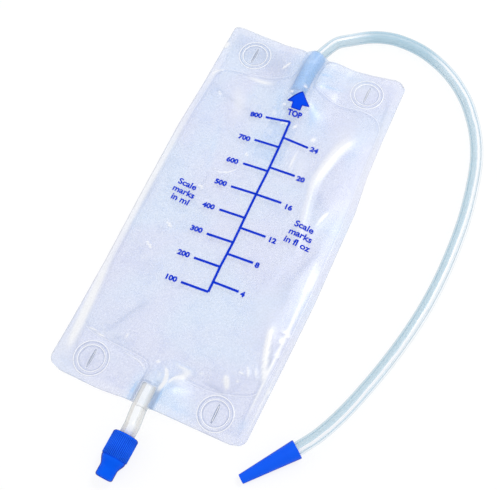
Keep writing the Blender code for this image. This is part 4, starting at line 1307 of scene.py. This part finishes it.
def makeRibTree():
    sizes = {"Count": "Int", "Place Radius": "Float", "Rib Radius": "Float", "Rib Length": "Float"}
    tree, given, result = newTree("gripRibs", sizes)
    inputs = {"Vertices": given["Count"], "Radius": given["Place Radius"]}
    ring = addNode(tree, "GeometryNodeMeshCircle", inputs).outputs[0]
    inputs = {"Radius": given["Rib Radius"], "Depth": given["Rib Length"], "Vertices": 10}
    bar = addNode(tree, "GeometryNodeMeshCylinder", inputs).outputs["Mesh"]
    inputs = {"Points": ring, "Instance": bar}
    bars = addNode(tree, "GeometryNodeInstanceOnPoints", inputs).outputs[0]
    endTree(tree, bars, given, result)
    return tree


# The cap's section from its nozzle over the grip to its mouth and back inside
def capSection():
    shoulder, nozzle, rim = [], [], []
    nozzleEdge, rimEdge = cap["nozzleEdge"], cap["rimEdge"]
    gripEnd = cap["gripRadius"] - cap["draft"]
    for share in np.linspace(0.9, 0.1, 9):
        wider = (gripEnd - cap["nozzleRadius"]) * float(smoothStep(1 - share))
        shoulder.append((cap["nozzleRadius"] + wider, cap["gripLength"] + cap["shoulder"] * share))
    for turn in np.radians((90, 68, 45, 22, 0)):
        across, along = 1 - math.cos(turn), 1 - math.sin(turn)
        nozzle.append((cap["nozzleRadius"] - nozzleEdge * across, cap["length"] - nozzleEdge * along))
        rim.insert(0, (cap["gripRadius"] - rimEdge * across, rimEdge * along))
    return [
        *nozzle,
        (cap["nozzleRadius"], cap["gripLength"] + cap["shoulder"]),
        *shoulder,
        (gripEnd, cap["gripLength"]),
        *rim,
        (cap["well"], 0),
        (cap["well"], cap["camStart"]),
        (cap["camBore"], cap["camStart"] + 0.05),
        (cap["camBore"], cap["camEnd"]),
        (cap["sealBore"], cap["camEnd"] + 0.6),
        (cap["sealBore"], cap["seat"]),
        (cap["orifice"], cap["seat"]),
        (cap["orifice"], cap["seatEnd"]),
        (cap["mouthRadius"], cap["mouth"]),
        (cap["mouthRadius"], cap["length"]),
    ]


def makeCap():
    # outline: the colour of the painted shade where the cap turns away
    look = dict(outline=(0.0, 0.012, 0.30), specular=0.05)
    blues = (0.0, 0.140, 1.0), (0.0, 0.080, 0.86)
    finish = mouldedMaterial("blueCap", *blues, rough=0.4, bump=0.08, **look)
    line = valve["start"], valve["along"]
    body = addTurned("twistCap", capSection(), *line, finish, steps=96, bevel=0.15)
    # Painted shade in the grooves: the grip faces between the ribs take a darker blue
    blues = (0.0, 0.105, 0.95), (0.0, 0.040, 0.60)
    grooveShade = mouldedMaterial("blueCapGrooveShade", *blues, rough=0.5, bump=0.08, **look)
    body.data.materials.append(grooveShade)
    start, along = toPart([valve["start"]])[0], Vector(valve["along"])
    for face in body.data.polygons:
        place = (face.center - start).dot(along) / mm
        radius = ((face.center - start).cross(along)).length / mm
        if cap["rimEdge"] < place < cap["gripLength"] - 0.3 and radius > cap["well"] + 1:
            face.material_index = 1
    source = addObject("capRibs", bpy.data.meshes.new("capRibs"), finish)
    ribs = source.modifiers.new("ribs", "NODES")
    ribs.node_group = makeRibTree()
    sizes = {
        "Count": cap["ribs"],
        "Place Radius": (cap["gripRadius"] + cap["ribProud"] - cap["ribRadius"]) * mm,
        "Rib Radius": cap["ribRadius"] * mm,
        "Rib Length": (cap["gripLength"] - cap["ribEnds"]) * mm,
        "Finish": finish,
    }
    setTreeInputs(ribs, sizes)
    applyModifiers(source)
    middle = np.array(valve["along"]) * (cap["gripLength"] / 2 + 0.1)
    centre = toPart([np.array(valve["start"]) + middle])[0]
    turn = along.to_track_quat("Z", "Y").to_matrix().to_4x4()
    source.data.transform(Matrix.Translation(centre) @ turn)
    for piece in (body, source):
        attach(piece, "cap")
        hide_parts("twist_cap")


def dressCadNodes():
    whites = (0.80, 0.82, 0.84), (0.72, 0.74, 0.78)
    greys = (0.035, 0.038, 0.042), (0.06, 0.06, 0.065)
    white = mouldedMaterial("whitePlastic", *whites, rough=0.35, bump=0.08)
    rubber = mouldedMaterial("greyRubber", *greys, rough=0.62, bump=0.25, grain=5000.0)
    for node, finish in (("valve_stem", white), ("stem_o_ring", rubber), ("cap_washer", rubber)):
        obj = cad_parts[node]
        obj.data.materials.clear()
        obj.data.materials.append(finish)


makeCap()
dressCadNodes()
print("valve made")

# Print on the front film: two scales, plain numbers, an arrow and short captions

scalePrint = dict(
    lineWidth=1.7,
    lineStep=0.8,
    cells=(2.8, 1.4, 0.7),
    thickness=0.05,
    middleLine=(
        (3.0, 81.6), (4.2, 59.6), (4.8, 39.1), (4.8, 19.6), (5.1, 0.1), (5.6, -19.6), (5.2, -39.2),
        (5.7, -58.4),
    ),
    leftTicks=(
        ("800", (3.0, 81.6), (-14.6, 78.5), (-20.8, 77.4)),
        ("700", (4.2, 59.6), (-14.2, 58.4), (-20.9, 57.1)),
        ("600", (4.8, 39.1), (-13.6, 37.9), (-20.8, 37.0)),
        ("500", (4.8, 19.6), (-13.8, 18.3), (-20.9, 18.1)),
        ("400", (5.1, 0.1), (-13.5, -1.1), (-20.8, -1.6)),
        ("300", (5.6, -19.6), (-13.6, -20.9), (-20.8, -20.7)),
        ("200", (5.2, -39.2), (-13.8, -40.2), (-20.8, -40.3)),
        ("100", (5.7, -58.4), (-14.0, -59.4), (-20.8, -59.5)),
    ),
    rightTicks=(
        ("24", (4.0, 67.9), (23.2, 67.1), (28.6, 66.8)),
        ("20", (5.0, 42.4), (23.6, 43.0), (29.0, 42.1)),
        ("16", (5.3, 19.5), (23.5, 20.3), (29.8, 18.9)),
        ("12", (5.4, -7.8), (24.0, -7.2), (29.8, -7.9)),
        ("8", (5.6, -28.7), (24.2, -27.9), (28.1, -28.5)),
        ("4", (5.6, -50.7), (24.0, -50.3), (27.9, -51.0)),
    ),
    numberSize=5.1,
    numberSpread=1.12,
    numberShift=-0.7,
    numberBold=0.05,
    captionSize=6.2,
    captionSpread=1.12,
    captionBold=0.028,
    captionTurn=math.radians(-3),
    captions=(
        ("Scale", (-42.2, 7.7)),
        ("marks", (-42.1, 1.4)),
        ("in ml", (-41.8, -4.8)),
        ("Scale", (45.1, 9.6)),
        ("marks", (45.1, 3.1)),
        ("in fl oz", (45.2, -3.4)),
    ),
    arrow=(
        (3.7, 103.1), (-4.0, 94.0), (0.0, 94.3), (0.2, 90.6), (6.5, 91.3), (6.6, 95.0),
        (11.5, 96.1),
    ),
    arrowLine=0.7,
    heading=("TOP", (4.0, 87.6)),
    headingSize=5.1,
    headingSpread=1.05,
    headingTurn=math.radians(4),
    lift=0.2,
    arrowLift=0.12,
)


def makeInk(name, deep, bright):
    material, tree, node = newMaterial(name, roughness=0.8, specular=0.1)
    body = blendColors(tree, noise(tree, 90.0), deep, bright)
    speckled = ramp(tree, noise(tree, 1500.0), 0.62, 0.78, 0.96, 0.62)
    feed(tree, node, {"Base Color": body, "Alpha": speckled})
    return material


def ribbon(line, width):
    line = np.array(line, float)
    lengths = np.concatenate([[0], np.cumsum(np.linalg.norm(np.diff(line, axis=0), axis=1))])
    places = np.linspace(0, lengths[-1], max(2, int(lengths[-1] / scalePrint["lineStep"]) + 1))
    line = np.stack([np.interp(places, lengths, line[:, side]) for side in (0, 1)], 1)
    step = np.gradient(line, axis=0)
    step /= np.linalg.norm(step, axis=1)[:, None]
    side = np.stack([-step[:, 1], step[:, 0]], 1) * width / 2
    points = np.stack([line - side, line, line + side], 1).reshape(-1, 2)
    spots = [row * 3 + column for row in range(len(line) - 1) for column in (0, 1)]
    return points, [(spot, spot + 3, spot + 4, spot + 1) for spot in spots]


# A flat curve as points and triangles, small enough to follow the film
def meshOfCurve(curve):
    obj = addObject("outline", curve)
    mesh = evaluatedMesh(obj)
    bpy.data.objects.remove(obj, do_unlink=True)
    bm = bmesh.new()
    bm.from_mesh(mesh)
    bmesh.ops.remove_doubles(bm, verts=bm.verts, dist=0.001)
    bmesh.ops.triangulate(bm, faces=bm.faces)
    for longest in scalePrint["cells"]:
        edges = [edge for edge in bm.edges if edge.calc_length() > longest]
        bmesh.ops.subdivide_edges(bm, edges=edges, cuts=1)
        bmesh.ops.triangulate(bm, faces=bm.faces)
    bm.verts.index_update()
    points = np.array([vert.co[:2] for vert in bm.verts])
    faces = [tuple(vert.index for vert in face.verts) for face in bm.faces]
    bm.free()
    return points, faces


def lettering(words, size, centre, angle, spread, bold):
    curve = bpy.data.curves.new("words", "FONT")
    curve.body = words
    curve.size = size
    curve.align_x = "CENTER"
    curve.align_y = "CENTER"
    curve.offset = bold * size
    curve.resolution_u = 4
    points, faces = meshOfCurve(curve)
    points[:, 0] *= spread
    turn = np.array(((math.cos(angle), math.sin(angle)), (-math.sin(angle), math.cos(angle))))
    return points @ turn + centre, faces


def arrowShape():
    curve = bpy.data.curves.new("arrow", "CURVE")
    curve.dimensions = "2D"
    curve.fill_mode = "BOTH"
    spline = curve.splines.new("POLY")
    spline.points.add(len(scalePrint["arrow"]) - 1)
    spline.use_cyclic_u = True
    for point, (x, y) in zip(spline.points, scalePrint["arrow"]):
        point.co = (x, y, 0, 1)
    return meshOfCurve(curve)


def scaleShapes():
    look = scalePrint
    shapes = [ribbon(look["middleLine"], look["lineWidth"])]
    for side, ticks in ((-1, "leftTicks"), (1, "rightTicks")):
        for words, inner, outer, (x, y) in look[ticks]:
            shapes.append(ribbon((inner, outer), look["lineWidth"]))
            angle = math.atan2(side * (outer[1] - inner[1]), side * (outer[0] - inner[0]))
            centre, shape = (x + look["numberShift"], y), (look["numberSpread"], look["numberBold"])
            shapes.append(lettering(words, look["numberSize"], centre, angle, *shape))
    for words, centre in look["captions"]:
        shape = look["captionTurn"], look["captionSpread"], look["captionBold"]
        shapes.append(lettering(words, look["captionSize"], centre, *shape))
    arrow = [*look["arrow"], *look["arrow"][:2]]
    shapes += [ribbon(pair, look["arrowLine"]) for pair in zip(arrow, arrow[1:])]
    shape = look["headingTurn"], look["headingSpread"], look["numberBold"]
    words, centre = look["heading"]
    shapes.append(lettering(words, look["headingSize"], centre, *shape))
    return shapes


# Flat shapes laid onto the front film
def makePrint(name, shapes, ink, lift):
    graph = bpy.context.evaluated_depsgraph_get()
    tree = BVHTree.FromObject(frontFilm, graph)
    verts, polygons = [], []
    for points, faces in shapes:
        start = len(verts)
        for x, y in points:
            above = toPart([(x, y, 40)])[0]
            hit = tree.ray_cast(above, Vector((0, 0, -1)))[0]
            verts.append((hit or above) + Vector((0, 0, lift * mm)))
        polygons += [tuple(start + corner for corner in face) for face in faces]
    mesh = bpy.data.meshes.new(name)
    mesh.from_pydata(verts, [], polygons)
    bm = bmesh.new()
    bm.from_mesh(mesh)
    for face in bm.faces:
        face.normal_update()
        if face.normal.z < 0:
            face.normal_flip()
    bm.to_mesh(mesh)
    bm.free()
    piece = addObject(name, mesh, ink)
    thicken(piece, scalePrint["thickness"])
    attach(piece, "bag")


scaleInk = makeInk("printInk", (0.0, 0.030, 0.60), (0.001, 0.046, 0.74))
arrowInk = makeInk("arrowInk", (0.0, 0.070, 0.90), (0.0, 0.085, 1.0))
makePrint("scalePrint", scaleShapes(), scaleInk, scalePrint["lift"])
makePrint("arrowPrint", [arrowShape()], arrowInk, scalePrint["arrowLift"])
print("print made")

# Floor, world and lamps

studio = dict(
    floorSize=4.0,
    floorHeight=-0.0003,
    floorGlow=1.03,  # what the camera sees of the floor is mostly this white
    glowShare=0.8,
    light=(0.97, 0.98, 1.0),
    strength=0.76,
    lamps=(  # name, towards the lamp, distance, size and radiance
        ("keyLamp", (0.30, 0.36, 0.88), 1.5, 0.42, 12.0),
        ("fillLamp", (-0.75, -0.25, 0.6), 1.6, 0.8, 1.0),
    ),
)


def makeFloor():
    size, height = studio["floorSize"], studio["floorHeight"]
    corners = [(x * size, y * size, height) for x, y in ((-1, -1), (1, -1), (1, 1), (-1, 1))]
    mesh = bpy.data.meshes.new("floor")
    mesh.from_pydata(corners, [], [(0, 1, 2, 3)])
    material, tree, node = newMaterial("whiteFloor", roughness=0.9)
    body = blendColors(tree, noise(tree, 800.0), (0.96, 0.96, 0.96), (0.98, 0.98, 0.98))
    feed(tree, node, {"Base Color": body})
    path = tree.nodes.new("ShaderNodeLightPath").outputs
    seen = largest(tree, path["Is Camera Ray"], path["Is Glossy Ray"], path["Is Transmission Ray"])
    inputs = {"Color": (1, 1, 1, 1), "Strength": studio["floorGlow"]}
    white = addNode(tree, "ShaderNodeEmission", inputs)
    mixSurface(tree, times(tree, seen, studio["glowShare"]), node, white)
    addObject("floor", mesh, material)


def makeWorld():
    world = bpy.data.worlds.new("studio")
    bpy.context.scene.world = world
    world.use_nodes = True
    tree = world.node_tree
    path = tree.nodes.new("ShaderNodeLightPath").outputs
    seen = largest(tree, path["Is Camera Ray"], path["Is Transmission Ray"])
    soft = tree.nodes["Background"]
    soft.inputs["Color"].default_value = (*studio["light"], 1)
    soft.inputs["Strength"].default_value = studio["strength"]
    inputs = {"Color": (1, 1, 1, 1), "Strength": 1.0}
    white = addNode(tree, "ShaderNodeBackground", inputs)
    mixSurface(tree, seen, soft, white, "World Output")


def makeLamp(name, direction, distance, size, radiance):
    data = bpy.data.lights.new(name, "AREA")
    data.shape = "DISK"
    data.size = size
    data.energy = radiance * math.pi * math.pi * (size / 2) ** 2
    obj = bpy.data.objects.new(name, data)
    bpy.context.scene.collection.objects.link(obj)
    obj.location = Vector(direction).normalized() * distance
    obj.rotation_mode = "QUATERNION"
    obj.rotation_quaternion = Vector(direction).to_track_quat("Z", "Y")


makeFloor()
makeWorld()
for lamp in studio["lamps"]:
    makeLamp(*lamp)
